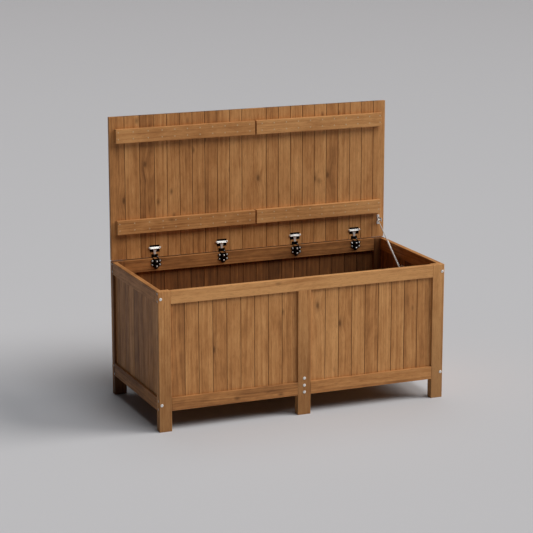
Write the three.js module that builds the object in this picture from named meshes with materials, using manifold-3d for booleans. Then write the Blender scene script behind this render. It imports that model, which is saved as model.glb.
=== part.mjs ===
// Deck storage box: a slatted hardwood chest on six legs with a boarded lid,
// four cup hinges along the back and one gas stay on the right.
//
// Millimetres, +Z up. X runs along the box (left to right seen from the front),
// Y runs from the front to the back, and the origin is on the floor under the
// middle of the box. The lid is drawn standing open, leaning on its stay.

import * as THREE from 'three';
import { mergeVertices } from 'three/addons/utils/BufferGeometryUtils.js';
import Module from 'manifold-3d';

const wasm = await Module();
wasm.setup();

// ---------------------------------------------------------------- dimensions

const WIDTH = 1200;               // outside, along X
const DEPTH = 563;                // outside, along Y
const HEIGHT = 547;               // floor to the top of the rails

const POST_WIDTH = 50;            // corner post, across the front
const POST_THICK = 30;            // corner post, front to back
const LEG_WIDTH = 54;             // middle leg, across the front
const LEG_CENTRE = -3.5;          // the middle leg stands a little left of centre
const FOOT = 80;                  // floor to the underside of the bottom rails

const RAIL_THICK = 20;            // front and side rails
const BACK_RAIL_THICK = 30;       // the top back rail carries the hinges
const TOP_RAIL = 50;              // height of the top rails
const BOTTOM_RAIL = 52;           // height of the bottom rails

const BOARD_THICK = 8;            // tongued boards of the walls
const BOARD_RECESS = 9;           // how far the boards sit behind the frame's face
const BOARD_PITCH = 57;           // width of one wall board
const SIDE_PITCH = 56;            // width of one board in the side walls
const FIRST_BOARD_RIGHT = 64;     // the first board right of the middle leg is wider
const GROOVE_DEPTH = 7;           // how far the boards enter the frame
const V_WIDTH = 2.4;              // width of the V between two boards
const V_DEPTH = 1.6;              // depth of that V
const FIT = 0.3;                  // gap round a board in its groove
const OVERCUT = 1;                // how far a cut runs past the face it opens

const FLOOR_TOP = 164;            // top of the floor boards
const FLOOR_THICK = 12;
const FLOOR_BOARDS = 5;
const FLOOR_GAP = 1.5;            // gap between two floor boards
const BEARER = { width: 34, bottom: 84 };
const LEDGER = { thick: 22, height: 40 };

const LID = { depth: 574.1, thick: 15, foot: 550.5, inner: 548 - DEPTH / 2 };
const LID_BOARDS = { wide: 62, narrow: 53.4, wideCount: 3, perHalf: 11 };
const BATTEN = {
  thick: 20, height: 56, lower: 655.5, upper: 1021.3,
  leftInset: 21.5, rightInset: 23, gap: 6,
};

// The hinge pin: the lid turns a quarter about it and stops just above the rails.
const PIN = { y: 555.8 - DEPTH / 2, z: 557.8, radius: 1.6 };
const HINGE_PLACES = [182, 470, 794, 1064].map((fromLeft) => fromLeft - WIDTH / 2);
const HINGE = {
  cupRadius: 13, cupWall: 1.5, cupDepth: 11, cupCentre: 584,
  barCentre: 588.5, barLength: 53, barHeight: 8, barThick: 5,
  flangeHalf: 21, flangeBottom: 571, flangeTop: 600, flangeThick: 1,
  strapHalf: 7, leafThick: 1.1,
  plateWidth: 46, plateHeight: 38, plateThick: 2.5, plateTop: 542.5,
  armWidth: 17, armHeight: 33, armThick: 8,
  knuckleRadius: 3.6, prongInner: 7.5, prongOuter: 13, prongDrop: 2,
  bridgeNear: 0.7, bridgeFar: 2.7, bridgeHeight: 6.4,
  notchTop: 562.8, notchGap: 1.6, notchSkin: 0.9,
  webRise: 3.3, pinHead: 0.9, pinHeadRadius: 2.6, pinPlay: 0.3,
};

// The gas stay, from the ball on the side wall up to the ball on the lid.
const STAY = {
  x: 1165.5 - WIDTH / 2,
  wall: { y: 324 - DEPTH / 2, z: 465 },
  lid: { y: 530 - DEPTH / 2, z: 627 },
  tubeRadius: 4.2, boreRadius: 3.3, boreFoot: 12, neckLength: 7, neckBore: 2.25,
  rodRadius: 1.9, rodShown: 116, pistonRadius: 2.9, pistonLength: 6, pistonInset: 30,
  ballRadius: 3.4, eyeRadius: 5, eyeThick: 5, eyeBore: 2.4,
};

// The plates that carry the two balls of the stay.
const BRACKET = {
  thick: 2, wallHalfLength: 20, wallHalfHeight: 7, wallStudRadius: 2.2,
  lidInner: 568.5, lidOuter: 579.5, lidBelow: 22, lidAbove: 18,
  earReach: 7, earHalfHeight: 8, studGap: 0.8,
};

const BOLT = { headRadius: 6, headHeight: 2.2, headRim: 0.6, shankRadius: 3, length: 45 };
const BOLT_DOME_ANGLES = [30, 55, 75];            // degrees up the head's dome
const LEG_BOLT_HEIGHTS = [91, 118.5, 147];
const CORNER_BOLT_INSET = 9.5;
const CORNER_BOLT_HEIGHTS = [106, 518.5];

const LEFT = -WIDTH / 2;
const RIGHT = WIDTH / 2;
const FRONT = -DEPTH / 2;
const BACK = DEPTH / 2;
const RAIL_TOP_BOTTOM = HEIGHT - TOP_RAIL;        // underside of the top rails
const RAIL_BOTTOM_TOP = FOOT + BOTTOM_RAIL;       // top of the bottom rails
const LEG_LEFT = LEG_CENTRE - LEG_WIDTH / 2;
const LEG_RIGHT = LEG_CENTRE + LEG_WIDTH / 2;

// ------------------------------------------------------------------ materials

function material(color, roughness, metalness = 0) {
  return new THREE.MeshStandardMaterial({ color, roughness, metalness });
}

const FINISH = {
  frame: () => material(0x96683f, 0.55),
  boards: () => material(0x8f6239, 0.6),
  lid: () => material(0x87592f, 0.6),
  inside: () => material(0x7a4f2c, 0.65),
  chrome: () => material(0xd8d8da, 0.18, 1),
  darkSteel: () => material(0x3a3634, 0.35, 0.9),
  zinc: () => material(0xb9bbbd, 0.35, 0.9),
};

const root = new THREE.Group();
root.name = 'deck_storage_box';

function place(name, geometry, finish, parent = root) {
  const mesh = new THREE.Mesh(geometry, finish());
  mesh.name = name;
  parent.add(mesh);
  return mesh;
}

// -------------------------------------------------------------- solid helpers

// A block from its two corners.
function block(x0, x1, y0, y1, z0, z1) {
  const geometry = new THREE.BoxGeometry(x1 - x0, y1 - y0, z1 - z0);
  geometry.translate((x0 + x1) / 2, (y0 + y1) / 2, (z0 + z1) / 2);
  return geometry;
}

// A round bar about an axis parallel to X, Y or Z, given by its middle point.
function bar(axis, radius, length, x, y, z, sides = 20) {
  const geometry = new THREE.CylinderGeometry(radius, radius, length, sides);
  if (axis === 'x') geometry.rotateZ(Math.PI / 2);
  if (axis === 'z') geometry.rotateX(Math.PI / 2);
  geometry.translate(x, y, z);
  return geometry;
}

function toSolid(geometry) {
  const bare = geometry.clone();
  bare.deleteAttribute('normal');
  bare.deleteAttribute('uv');
  const merged = mergeVertices(bare, 1e-4);
  return new wasm.Manifold(new wasm.Mesh({
    numProp: 3,
    vertProperties: new Float32Array(merged.attributes.position.array),
    triVerts: new Uint32Array(merged.index.array),
  }));
}

function toGeometry(solid) {
  const mesh = solid.getMesh();
  const geometry = new THREE.BufferGeometry();
  geometry.setAttribute('position', new THREE.BufferAttribute(new Float32Array(mesh.vertProperties), 3));
  geometry.setIndex(new THREE.BufferAttribute(new Uint32Array(mesh.triVerts), 1));
  geometry.computeVertexNormals();
  return geometry;
}

// One solid from pieces that are joined, less pieces that are cut away.
function shape(joined, cut = []) {
  let solid = toSolid(joined[0]);
  for (const piece of joined.slice(1)) solid = solid.add(toSolid(piece));
  for (const piece of cut) solid = solid.subtract(toSolid(piece));
  return toGeometry(solid);
}

// ------------------------------------------------------------ boarded surfaces

// The outline of a row of boards seen end on, with a V on both faces at each joint.
// The row runs from `from` to `to`, the boards are `thick` deep, from 0 backwards.
function boardRowOutline(from, to, joints, thick) {
  const outline = new THREE.Shape();
  outline.moveTo(from, 0);
  for (const joint of joints) {
    outline.lineTo(joint - V_WIDTH / 2, 0);
    outline.lineTo(joint, V_DEPTH);
    outline.lineTo(joint + V_WIDTH / 2, 0);
  }
  outline.lineTo(to, 0);
  outline.lineTo(to, thick);
  for (const joint of [...joints].reverse()) {
    outline.lineTo(joint + V_WIDTH / 2, thick);
    outline.lineTo(joint, thick - V_DEPTH);
    outline.lineTo(joint - V_WIDTH / 2, thick);
  }
  outline.lineTo(from, thick);
  return outline;
}

// A boarded panel that stands upright, its face towards -Y at y = 0.
function boardPanel(from, to, joints, thick, z0, z1) {
  const geometry = new THREE.ExtrudeGeometry(boardRowOutline(from, to, joints, thick), {
    depth: z1 - z0,
    bevelEnabled: false,
    steps: 1,
  });
  geometry.translate(0, 0, z0);
  return geometry;
}

// Joints of boards laid from `from` to `to`: the first board is `first` wide, then
// boards of one pitch follow, and the last one takes what is left.
function boardJoints(from, to, first, pitch) {
  const joints = [];
  for (let x = from + first; x < to - pitch / 2; x += pitch) joints.push(x);
  return joints;
}

// --------------------------------------------------------------- frame members

// The grooves that hold the wall boards, as blocks to cut from posts and rails.
const GROOVE = {
  near: BOARD_RECESS - FIT,
  far: BOARD_RECESS + BOARD_THICK + FIT,
  bottom: RAIL_BOTTOM_TOP - GROOVE_DEPTH - FIT,
  top: RAIL_TOP_BOTTOM + GROOVE_DEPTH + FIT,
};

function frontGroove(x0, x1, z0, z1, side) {
  const y0 = side === 'front' ? FRONT + GROOVE.near : BACK - GROOVE.far;
  const y1 = side === 'front' ? FRONT + GROOVE.far : BACK - GROOVE.near;
  return block(x0, x1, y0, y1, z0, z1);
}

function sideGroove(y0, y1, z0, z1, side) {
  const x0 = side === 'left' ? LEFT + GROOVE.near : RIGHT - GROOVE.far;
  const x1 = side === 'left' ? LEFT + GROOVE.far : RIGHT - GROOVE.near;
  return block(x0, x1, y0, y1, z0, z1);
}

function boltHole(x, z) {
  return bar('y', BOLT.shankRadius + FIT, BOLT.length * 2, x, FRONT, z, 12);
}

// The span of a slot that enters a face at `edge` and runs inwards, which is towards
// higher numbers for `way` 1 and lower ones for -1.
function slotSpan(edge, way) {
  const depth = GROOVE_DEPTH + FIT;
  return way > 0 ? [edge - OVERCUT, edge + depth] : [edge - depth, edge + OVERCUT];
}

function addPosts() {
  for (const end of ['front', 'back']) {
    const y0 = end === 'front' ? FRONT : BACK - POST_THICK;
    const sideCut = end === 'front' ? slotSpan(y0 + POST_THICK, -1) : slotSpan(y0, 1);
    for (const side of ['left', 'right']) {
      const x0 = side === 'left' ? LEFT : RIGHT - POST_WIDTH;
      const frontCut = side === 'left' ? slotSpan(x0 + POST_WIDTH, -1) : slotSpan(x0, 1);
      const cuts = [
        frontGroove(...frontCut, GROOVE.bottom, GROOVE.top, end),
        sideGroove(...sideCut, GROOVE.bottom, GROOVE.top, side),
      ];
      if (end === 'front') {
        const boltX = side === 'left' ? LEFT + CORNER_BOLT_INSET : RIGHT - CORNER_BOLT_INSET;
        for (const z of CORNER_BOLT_HEIGHTS) cuts.push(boltHole(boltX, z));
      }
      const post = block(x0, x0 + POST_WIDTH, y0, y0 + POST_THICK, 0, HEIGHT);
      place(`${end}_${side}_post`, shape([post], cuts), FINISH.frame);
    }
  }
}

// The front middle leg runs up between the two front panels and is grooved for both.
function addFrontMiddleLeg() {
  const leg = block(LEG_LEFT, LEG_RIGHT, FRONT, FRONT + POST_THICK, 0, RAIL_TOP_BOTTOM);
  const cuts = [
    frontGroove(...slotSpan(LEG_LEFT, 1), GROOVE.bottom, HEIGHT, 'front'),
    frontGroove(...slotSpan(LEG_RIGHT, -1), GROOVE.bottom, HEIGHT, 'front'),
  ];
  for (const z of LEG_BOLT_HEIGHTS) cuts.push(boltHole(LEG_CENTRE, z));
  place('front_middle_leg', shape([leg], cuts), FINISH.frame);
}

// The back middle leg is cut down behind the boards, which run past it unbroken.
function addBackMiddleLeg() {
  const foot = block(LEG_LEFT, LEG_RIGHT, BACK - POST_THICK, BACK, 0, GROOVE.bottom);
  const strip = block(LEG_LEFT, LEG_RIGHT, BACK - GROOVE.near, BACK, 0, RAIL_TOP_BOTTOM);
  place('back_middle_leg', shape([foot, strip]), FINISH.frame);
}

function addFrontAndBackRails() {
  const inner = WIDTH / 2 - POST_WIDTH;
  for (const end of ['front', 'back']) {
    const topThick = end === 'front' ? RAIL_THICK : BACK_RAIL_THICK;
    const span = (thick) => (end === 'front' ? [FRONT, FRONT + thick] : [BACK - thick, BACK]);
    const top = block(-inner, inner, ...span(topThick), RAIL_TOP_BOTTOM, HEIGHT);
    const [x0, x1] = [-inner - OVERCUT, inner + OVERCUT];
    const spans = end === 'front'
      ? [[x0, slotSpan(LEG_LEFT, 1)[1]], [slotSpan(LEG_RIGHT, -1)[0], x1]]
      : [[x0, x1]];
    const topGrooves = spans.map((reach) => (
      frontGroove(...reach, RAIL_TOP_BOTTOM - OVERCUT, GROOVE.top, end)));
    place(`${end}_top_rail`, shape([top], topGrooves), FINISH.frame);
    const halves = { left: [-inner, LEG_LEFT], right: [LEG_RIGHT, inner] };
    for (const [side, [from, to]] of Object.entries(halves)) {
      const bottom = block(from, to, ...span(RAIL_THICK), FOOT, RAIL_BOTTOM_TOP);
      const slot = [from - OVERCUT, to + OVERCUT, GROOVE.bottom, RAIL_BOTTOM_TOP + OVERCUT];
      const groove = frontGroove(...slot, end);
      place(`${end}_bottom_rail_${side}`, shape([bottom], [groove]), FINISH.frame);
    }
  }
}

function addSideRails() {
  const y0 = FRONT + POST_THICK;
  const y1 = BACK - POST_THICK;
  for (const side of ['left', 'right']) {
    const [x0, x1] = side === 'left' ? [LEFT, LEFT + RAIL_THICK] : [RIGHT - RAIL_THICK, RIGHT];
    const boltX = side === 'left' ? LEFT + CORNER_BOLT_INSET : RIGHT - CORNER_BOLT_INSET;
    const rails = {
      top: { z0: RAIL_TOP_BOTTOM, z1: HEIGHT, slot: [RAIL_TOP_BOTTOM - OVERCUT, GROOVE.top] },
      bottom: { z0: FOOT, z1: RAIL_BOTTOM_TOP, slot: [GROOVE.bottom, RAIL_BOTTOM_TOP + OVERCUT] },
    };
    for (const [level, rail] of Object.entries(rails)) {
      const timber = block(x0, x1, y0, y1, rail.z0, rail.z1);
      const groove = sideGroove(y0 - OVERCUT, y1 + OVERCUT, ...rail.slot, side);
      const hole = boltHole(boltX, CORNER_BOLT_HEIGHTS[level === 'top' ? 1 : 0]);
      place(`${side}_${level}_rail`, shape([timber], [groove, hole]), FINISH.frame);
    }
  }
}

// ----------------------------------------------------------------- wall boards

function addWallPanels() {
  const z0 = RAIL_BOTTOM_TOP - GROOVE_DEPTH;
  const z1 = RAIL_TOP_BOTTOM + GROOVE_DEPTH;
  const postEdge = WIDTH / 2 - POST_WIDTH;
  const panels = {
    front_left_boards: { from: -postEdge, to: LEG_LEFT, first: BOARD_PITCH },
    front_right_boards: { from: LEG_RIGHT, to: postEdge, first: FIRST_BOARD_RIGHT },
    back_boards: { from: -postEdge, to: postEdge, first: BOARD_PITCH },
  };
  for (const [name, { from, to, first }] of Object.entries(panels)) {
    const y = name === 'back_boards' ? BACK - BOARD_RECESS - BOARD_THICK : FRONT + BOARD_RECESS;
    const joints = boardJoints(from, to, first, BOARD_PITCH);
    const panel = boardPanel(from - GROOVE_DEPTH, to + GROOVE_DEPTH, joints, BOARD_THICK, z0, z1);
    panel.translate(0, y, 0);
    place(name, panel, FINISH.boards);
  }
  const reach = DEPTH / 2 - POST_THICK;
  for (const side of ['left', 'right']) {
    const joints = boardJoints(-reach, reach, BOARD_PITCH, SIDE_PITCH);
    const [from, to] = [-reach - GROOVE_DEPTH, reach + GROOVE_DEPTH];
    const panel = boardPanel(from, to, joints, BOARD_THICK, z0, z1);
    panel.rotateZ(Math.PI / 2);
    const face = side === 'left' ? LEFT + BOARD_RECESS + BOARD_THICK : RIGHT - BOARD_RECESS;
    panel.translate(face, 0, 0);
    place(`${side}_boards`, panel, FINISH.boards);
  }
}

// ----------------------------------------------------------------------- floor

function addFloor() {
  const underside = FLOOR_TOP - FLOOR_THICK;
  const bearerReach = DEPTH / 2 - POST_THICK;
  const bearer = block(
    LEG_CENTRE - BEARER.width / 2, LEG_CENTRE + BEARER.width / 2,
    -bearerReach, bearerReach, BEARER.bottom, underside,
  );
  const holes = LEG_BOLT_HEIGHTS.map((z) => boltHole(LEG_CENTRE, z));
  place('floor_bearer', shape([bearer], holes), FINISH.inside);
  const wallFace = WIDTH / 2 - RAIL_THICK;
  for (const [side, sign] of [['left', -1], ['right', 1]]) {
    const x = [sign * wallFace, sign * (wallFace - LEDGER.thick)].sort((a, b) => a - b);
    const ledger = block(...x, -bearerReach, bearerReach, underside - LEDGER.height, underside);
    place(`floor_ledger_${side}`, ledger, FINISH.inside);
  }
  const room = 2 * bearerReach - 2 * FLOOR_GAP;
  const width = (room - (FLOOR_BOARDS - 1) * FLOOR_GAP) / FLOOR_BOARDS;
  for (let i = 0; i < FLOOR_BOARDS; i += 1) {
    const y = -bearerReach + FLOOR_GAP + i * (width + FLOOR_GAP);
    const reach = wallFace - FLOOR_GAP;
    const board = block(-reach, reach, y, y + width, underside, FLOOR_TOP);
    place(`floor_board_${i + 1}`, board, FINISH.inside);
  }
}

// ------------------------------------------------------------------------- lid

// Three wide boards start the lid at its left edge and narrower ones follow.
function lidJoint(index) {
  const wide = Math.min(index, LID_BOARDS.wideCount) * LID_BOARDS.wide;
  const narrow = Math.max(index - LID_BOARDS.wideCount, 0) * LID_BOARDS.narrow;
  return LEFT + wide + narrow;
}

function addLidBoards(lid) {
  const middle = lidJoint(LID_BOARDS.perHalf);
  const halves = { left: [LEFT, middle, 1], right: [middle, RIGHT, LID_BOARDS.perHalf + 1] };
  for (const [side, [from, to, firstJoint]] of Object.entries(halves)) {
    const joints = [];
    for (let i = 0; i < LID_BOARDS.perHalf - 1; i += 1) joints.push(lidJoint(firstJoint + i));
    const boards = boardPanel(from, to, joints, LID.thick, LID.foot, LID.foot + LID.depth);
    boards.translate(0, LID.inner, 0);
    const cuts = [];
    for (const x of HINGE_PLACES.filter((hingeX) => hingeX > from && hingeX < to)) {
      const pocket = HINGE.cupDepth + FIT;
      cuts.push(bar('y', HINGE.cupRadius + FIT, pocket * 2, x, LID.inner, HINGE.cupCentre, 32));
      const half = HINGE.prongOuter + HINGE.notchGap;
      const notchBack = PIN.y + HINGE.knuckleRadius + HINGE.notchSkin;
      cuts.push(block(
        x - half, x + half, LID.inner - OVERCUT, notchBack, LID.foot - OVERCUT, HINGE.notchTop,
      ));
    }
    place(`lid_boards_${side}`, shape([boards], cuts), FINISH.lid, lid);
  }
}

function addBattens(lid) {
  const middle = lidJoint(LID_BOARDS.perHalf);
  const halves = {
    left: [LEFT + BATTEN.leftInset, middle - BATTEN.gap / 2],
    right: [middle + BATTEN.gap / 2, RIGHT - BATTEN.rightInset],
  };
  for (const [row, z] of [['lower', BATTEN.lower], ['upper', BATTEN.upper]]) {
    for (const [side, [x0, x1]] of Object.entries(halves)) {
      const batten = block(x0, x1, LID.inner - BATTEN.thick, LID.inner, z, z + BATTEN.height);
      place(`${row}_batten_${side}`, batten, FINISH.lid, lid);
    }
  }
}

// ---------------------------------------------------------------------- hinges

// The half that goes with the lid: a cup let into the boards, the screwed bar
// across its mouth, and the strap that runs down to the middle knuckle.
function hingeCup(x) {
  const face = LID.inner;
  const { cupRadius, cupWall, cupDepth, cupCentre } = HINGE;
  const { barCentre, barLength, barHeight, strapHalf, leafThick } = HINGE;
  const wall = bar('y', cupRadius, cupDepth, x, face + cupDepth / 2, cupCentre, 32);
  const hollow = bar('y', cupRadius - cupWall, 2 * (cupDepth - cupWall), x, face, cupCentre, 32);
  const cup = shape([wall], [hollow]);
  const crossBar = block(
    x - barLength / 2, x + barLength / 2, face - HINGE.barThick, face,
    barCentre - barHeight / 2, barCentre + barHeight / 2,
  );
  const flange = shape([block(
    x - HINGE.flangeHalf, x + HINGE.flangeHalf, face - HINGE.flangeThick, face,
    HINGE.flangeBottom, HINGE.flangeTop,
  )], [hollow]);
  const strap = block(x - strapHalf, x + strapHalf, face - leafThick, face, PIN.z, barCentre);
  const web = block(x - strapHalf, x + strapHalf, face - leafThick, PIN.y, PIN.z, PIN.z + HINGE.webRise);
  const knuckle = bar('x', HINGE.knuckleRadius, strapHalf * 2, x, PIN.y, PIN.z, 20);
  const pinHole = bar('x', PIN.radius + FIT / 2, strapHalf * 4, x, PIN.y, PIN.z, 16);
  return shape([cup, flange, crossBar, strap, web, knuckle], [pinHole]);
}

// The half that stays on the box: a plate and its arm cover on the back rail, two
// prongs that lie over the rail and carry the outer knuckles, and a bridge behind them.
function hingePlate(x) {
  const face = BACK - BACK_RAIL_THICK;
  const { plateWidth, plateHeight, plateThick, plateTop, armWidth, armHeight, armThick } = HINGE;
  const { prongInner, prongOuter, prongDrop, leafThick, knuckleRadius } = HINGE;
  const { bridgeNear, bridgeFar, bridgeHeight } = HINGE;
  const plate = block(
    x - plateWidth / 2, x + plateWidth / 2, face - plateThick, face, plateTop - plateHeight, plateTop,
  );
  const armBottom = plateTop - (plateHeight + armHeight) / 2;
  const arm = block(
    x - armWidth / 2, x + armWidth / 2, face - plateThick - armThick, face, armBottom, armBottom + armHeight,
  );
  const bridge = block(
    x - prongOuter, x + prongOuter, PIN.y + bridgeNear, PIN.y + bridgeFar, HEIGHT, HEIGHT + bridgeHeight,
  );
  const pieces = [plate, arm, bridge];
  for (const sign of [-1, 1]) {
    const middle = x + sign * (prongInner + prongOuter) / 2;
    const half = (prongOuter - prongInner) / 2;
    const [x0, x1] = [middle - half, middle + half];
    pieces.push(block(x0, x1, face - leafThick, face, plateTop - prongDrop, HEIGHT + leafThick));
    pieces.push(block(x0, x1, face - leafThick, PIN.y, HEIGHT, HEIGHT + leafThick));
    pieces.push(block(x0, x1, PIN.y - knuckleRadius, PIN.y + bridgeFar, HEIGHT, PIN.z));
    pieces.push(bar('x', knuckleRadius, half * 2, middle, PIN.y, PIN.z, 20));
  }
  const pinHole = bar('x', PIN.radius + FIT / 2, prongOuter * 4, x, PIN.y, PIN.z, 16);
  return shape(pieces, [pinHole]);
}

// The pin, with a small head outside each outer knuckle.
function hingePin(x) {
  const { prongOuter, pinPlay, pinHead, pinHeadRadius } = HINGE;
  const reach = prongOuter + pinPlay;
  const shank = bar('x', PIN.radius, (reach + pinHead / 2) * 2, x, PIN.y, PIN.z, 16);
  const heads = [-1, 1].map((sign) => {
    const middle = x + sign * (reach + pinHead / 2);
    return bar('x', pinHeadRadius, pinHead, middle, PIN.y, PIN.z, 16);
  });
  return shape([shank, ...heads]);
}

function addHinges(lid) {
  HINGE_PLACES.forEach((x, index) => {
    place(`hinge_${index + 1}_cup`, hingeCup(x), FINISH.chrome, lid);
    place(`hinge_${index + 1}_plate`, hingePlate(x), FINISH.darkSteel);
    place(`hinge_${index + 1}_pin`, hingePin(x), FINISH.chrome);
  });
}

// -------------------------------------------------------------------- gas stay

// A round bar that stands on z, from one height to another, for use along the stay.
function along(radius, from, to, sides = 20) {
  return bar('z', radius, to - from, 0, 0, (from + to) / 2, sides);
}

// The tube with its eye at the wall ball, and the rod with its piston that slides in it.
// Both lie in a group of their own: local Z runs from the wall ball to the lid ball.
function addStayTubeAndRod() {
  const dy = STAY.lid.y - STAY.wall.y;
  const dz = STAY.lid.z - STAY.wall.z;
  const length = Math.hypot(dy, dz);
  const mouth = length - STAY.rodShown;
  const stay = new THREE.Group();
  stay.position.set(STAY.x, STAY.wall.y, STAY.wall.z);
  stay.rotation.x = -Math.atan2(dy, dz);
  root.add(stay);

  const { ballRadius, eyeRadius, eyeThick, boreFoot, neckLength } = STAY;
  const eye = bar('x', eyeRadius, eyeThick, 0, 0, 0, 20);
  const socket = bar('x', ballRadius + FIT, eyeThick * 2, 0, 0, 0, 20);
  const neck = along(STAY.neckBore, mouth - neckLength - OVERCUT, mouth + OVERCUT, 16);
  const tube = shape(
    [along(STAY.tubeRadius, ballRadius + FIT, mouth), eye],
    [socket, along(STAY.boreRadius, boreFoot, mouth - neckLength), neck],
  );
  place('stay_tube', tube, FINISH.zinc, stay);

  const pistonFoot = mouth - STAY.pistonInset;
  const shank = along(STAY.rodRadius, pistonFoot, length - OVERCUT, 16);
  const piston = along(STAY.pistonRadius, pistonFoot, pistonFoot + STAY.pistonLength, 16);
  const rodEye = bar('x', eyeRadius, eyeThick, 0, 0, length, 20);
  const rodHole = bar('x', STAY.eyeBore, eyeThick * 2, 0, 0, length, 16);
  place('stay_rod', shape([shank, piston, rodEye], [rodHole]), FINISH.chrome, stay);
}

// The ball on the side wall, on a stud and a plate.
function addStayWallBracket() {
  const { x, wall, ballRadius } = STAY;
  const face = RIGHT - BOARD_RECESS - BOARD_THICK;
  const plate = block(
    face - BRACKET.thick, face, wall.y - BRACKET.wallHalfLength, wall.y + BRACKET.wallHalfLength,
    wall.z - BRACKET.wallHalfHeight, wall.z + BRACKET.wallHalfHeight,
  );
  const stud = bar('x', BRACKET.wallStudRadius, face - x, (face + x) / 2, wall.y, wall.z, 16);
  const ball = new THREE.SphereGeometry(ballRadius, 20, 12);
  ball.translate(x, wall.y, wall.z);
  place('stay_wall_bracket', shape([plate, stud, ball]), FINISH.zinc);
}

// The bracket on the lid: a plate beside the rod, an ear at right angles, and a short stud.
function addStayLidBracket(lid) {
  const { y, z } = STAY.lid;
  const { thick, lidInner, lidOuter, lidBelow, lidAbove, earReach, earHalfHeight } = BRACKET;
  const plate = block(lidInner, lidOuter, LID.inner - thick, LID.inner, z - lidBelow, z + lidAbove);
  const earInner = lidOuter - thick;
  const ear = block(earInner, lidOuter, y - earReach, LID.inner, z - earHalfHeight, z + earHalfHeight);
  const studFrom = STAY.x + STAY.eyeThick / 2 + BRACKET.studGap;
  const studTo = earInner + thick / 2;
  const stud = bar('x', STAY.ballRadius, studTo - studFrom, (studFrom + studTo) / 2, y, z, 20);
  place('stay_lid_bracket', shape([plate, ear, stud]), FINISH.zinc, lid);
}

// ----------------------------------------------------------------------- bolts

function addBolts() {
  const { headRadius, headHeight, headRim, length } = BOLT;
  const profile = [[0, 0], [headRadius, 0], [headRadius, headRim]];
  for (const degrees of BOLT_DOME_ANGLES) {
    const angle = THREE.MathUtils.degToRad(degrees);
    profile.push([headRadius * Math.cos(angle), headRim + (headHeight - headRim) * Math.sin(angle)]);
  }
  profile.push([0, headHeight]);
  const outline = profile.map(([r, z]) => new THREE.Vector2(r, z));
  const boltAt = (x, z) => {
    const head = new THREE.LatheGeometry(outline, 16);
    head.rotateX(Math.PI);
    head.translate(x, FRONT, z);
    const shank = bar('y', BOLT.shankRadius, length, x, FRONT + length / 2, z, 12);
    return shape([head, shank]);
  };
  LEG_BOLT_HEIGHTS.forEach((z, index) => {
    place(`leg_bolt_${index + 1}`, boltAt(LEG_CENTRE, z), FINISH.zinc);
  });
  const corners = { left: LEFT + CORNER_BOLT_INSET, right: RIGHT - CORNER_BOLT_INSET };
  const [lower, upper] = CORNER_BOLT_HEIGHTS;
  for (const [side, x] of Object.entries(corners)) {
    for (const [level, z] of Object.entries({ lower, upper })) {
      place(`corner_bolt_${side}_${level}`, boltAt(x, z), FINISH.zinc);
    }
  }
}

// -------------------------------------------------------------------- assembly

const lidGroup = new THREE.Group();
lidGroup.name = 'lid';
root.add(lidGroup);

addPosts();
addFrontMiddleLeg();
addBackMiddleLeg();
addFrontAndBackRails();
addSideRails();
addWallPanels();
addFloor();
addLidBoards(lidGroup);
addBattens(lidGroup);
addHinges(lidGroup);
addStayTubeAndRod();
addStayWallBracket();
addStayLidBracket(lidGroup);
addBolts();

export default root;
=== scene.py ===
"""Deck storage box: oiled hardwood chest with a boarded lid, cup hinges and a gas stay.

Metres, +Z up, X along the box, Y from front to back, origin on the floor under the middle.
Sizes that a maker would read off a drawing are written in millimetres and turned by MM.
"""

import logging
import math
import random
from dataclasses import dataclass, field
from enum import Enum

import bmesh
import bpy
from mathutils import Matrix, Vector


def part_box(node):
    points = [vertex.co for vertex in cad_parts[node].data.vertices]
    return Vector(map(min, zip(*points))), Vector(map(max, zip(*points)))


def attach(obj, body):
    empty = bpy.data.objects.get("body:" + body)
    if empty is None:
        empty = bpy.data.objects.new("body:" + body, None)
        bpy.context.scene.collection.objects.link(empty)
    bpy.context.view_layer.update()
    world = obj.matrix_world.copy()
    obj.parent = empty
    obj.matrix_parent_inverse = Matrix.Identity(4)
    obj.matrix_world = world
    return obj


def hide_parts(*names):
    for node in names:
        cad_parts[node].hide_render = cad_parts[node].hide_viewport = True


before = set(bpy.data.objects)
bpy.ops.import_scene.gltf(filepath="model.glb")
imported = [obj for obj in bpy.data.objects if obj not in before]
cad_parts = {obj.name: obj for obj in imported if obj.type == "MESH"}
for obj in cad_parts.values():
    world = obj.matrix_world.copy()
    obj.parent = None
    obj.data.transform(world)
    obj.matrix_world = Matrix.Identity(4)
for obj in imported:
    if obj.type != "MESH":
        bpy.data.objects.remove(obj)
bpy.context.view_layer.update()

MM = 0.001
SAME_PLACE = 1e-6
RIGHTWARD = Vector((1, 0, 0))
FORWARD = Vector((0, -1, 0))
BACKWARD = Vector((0, 1, 0))
log = logging.getLogger("deck_box")

Mesh = bmesh.types.BMesh
Verts = list[bmesh.types.BMVert]
Edges = list[bmesh.types.BMEdge]
Point = Vector | tuple[float, float, float]
Profile = tuple[tuple[float, float], ...]
Material = bpy.types.Material
Object = bpy.types.Object
Tree = bpy.types.NodeTree
Node = bpy.types.Node
Socket = bpy.types.NodeSocket


class Axis(Enum):
    """The three directions of the box."""

    X = 0
    Y = 1
    Z = 2


class Half(Enum):
    """One of two halves of the box, by the sign of a direction."""

    def __str__(self) -> str:
        """The half's word in the nodes' names."""
        return self.name.lower()

    def outer(self, low: float, high: float) -> float:
        """The one of a timber's two faces that looks out on this half."""
        return low if self.value < 0 else high


class Side(Half):
    """Left or right, by the sign of X."""

    LEFT = -1
    RIGHT = 1


class End(Half):
    """Front or back, by the sign of Y."""

    FRONT = -1
    BACK = 1


# ---- small tools ----


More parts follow.
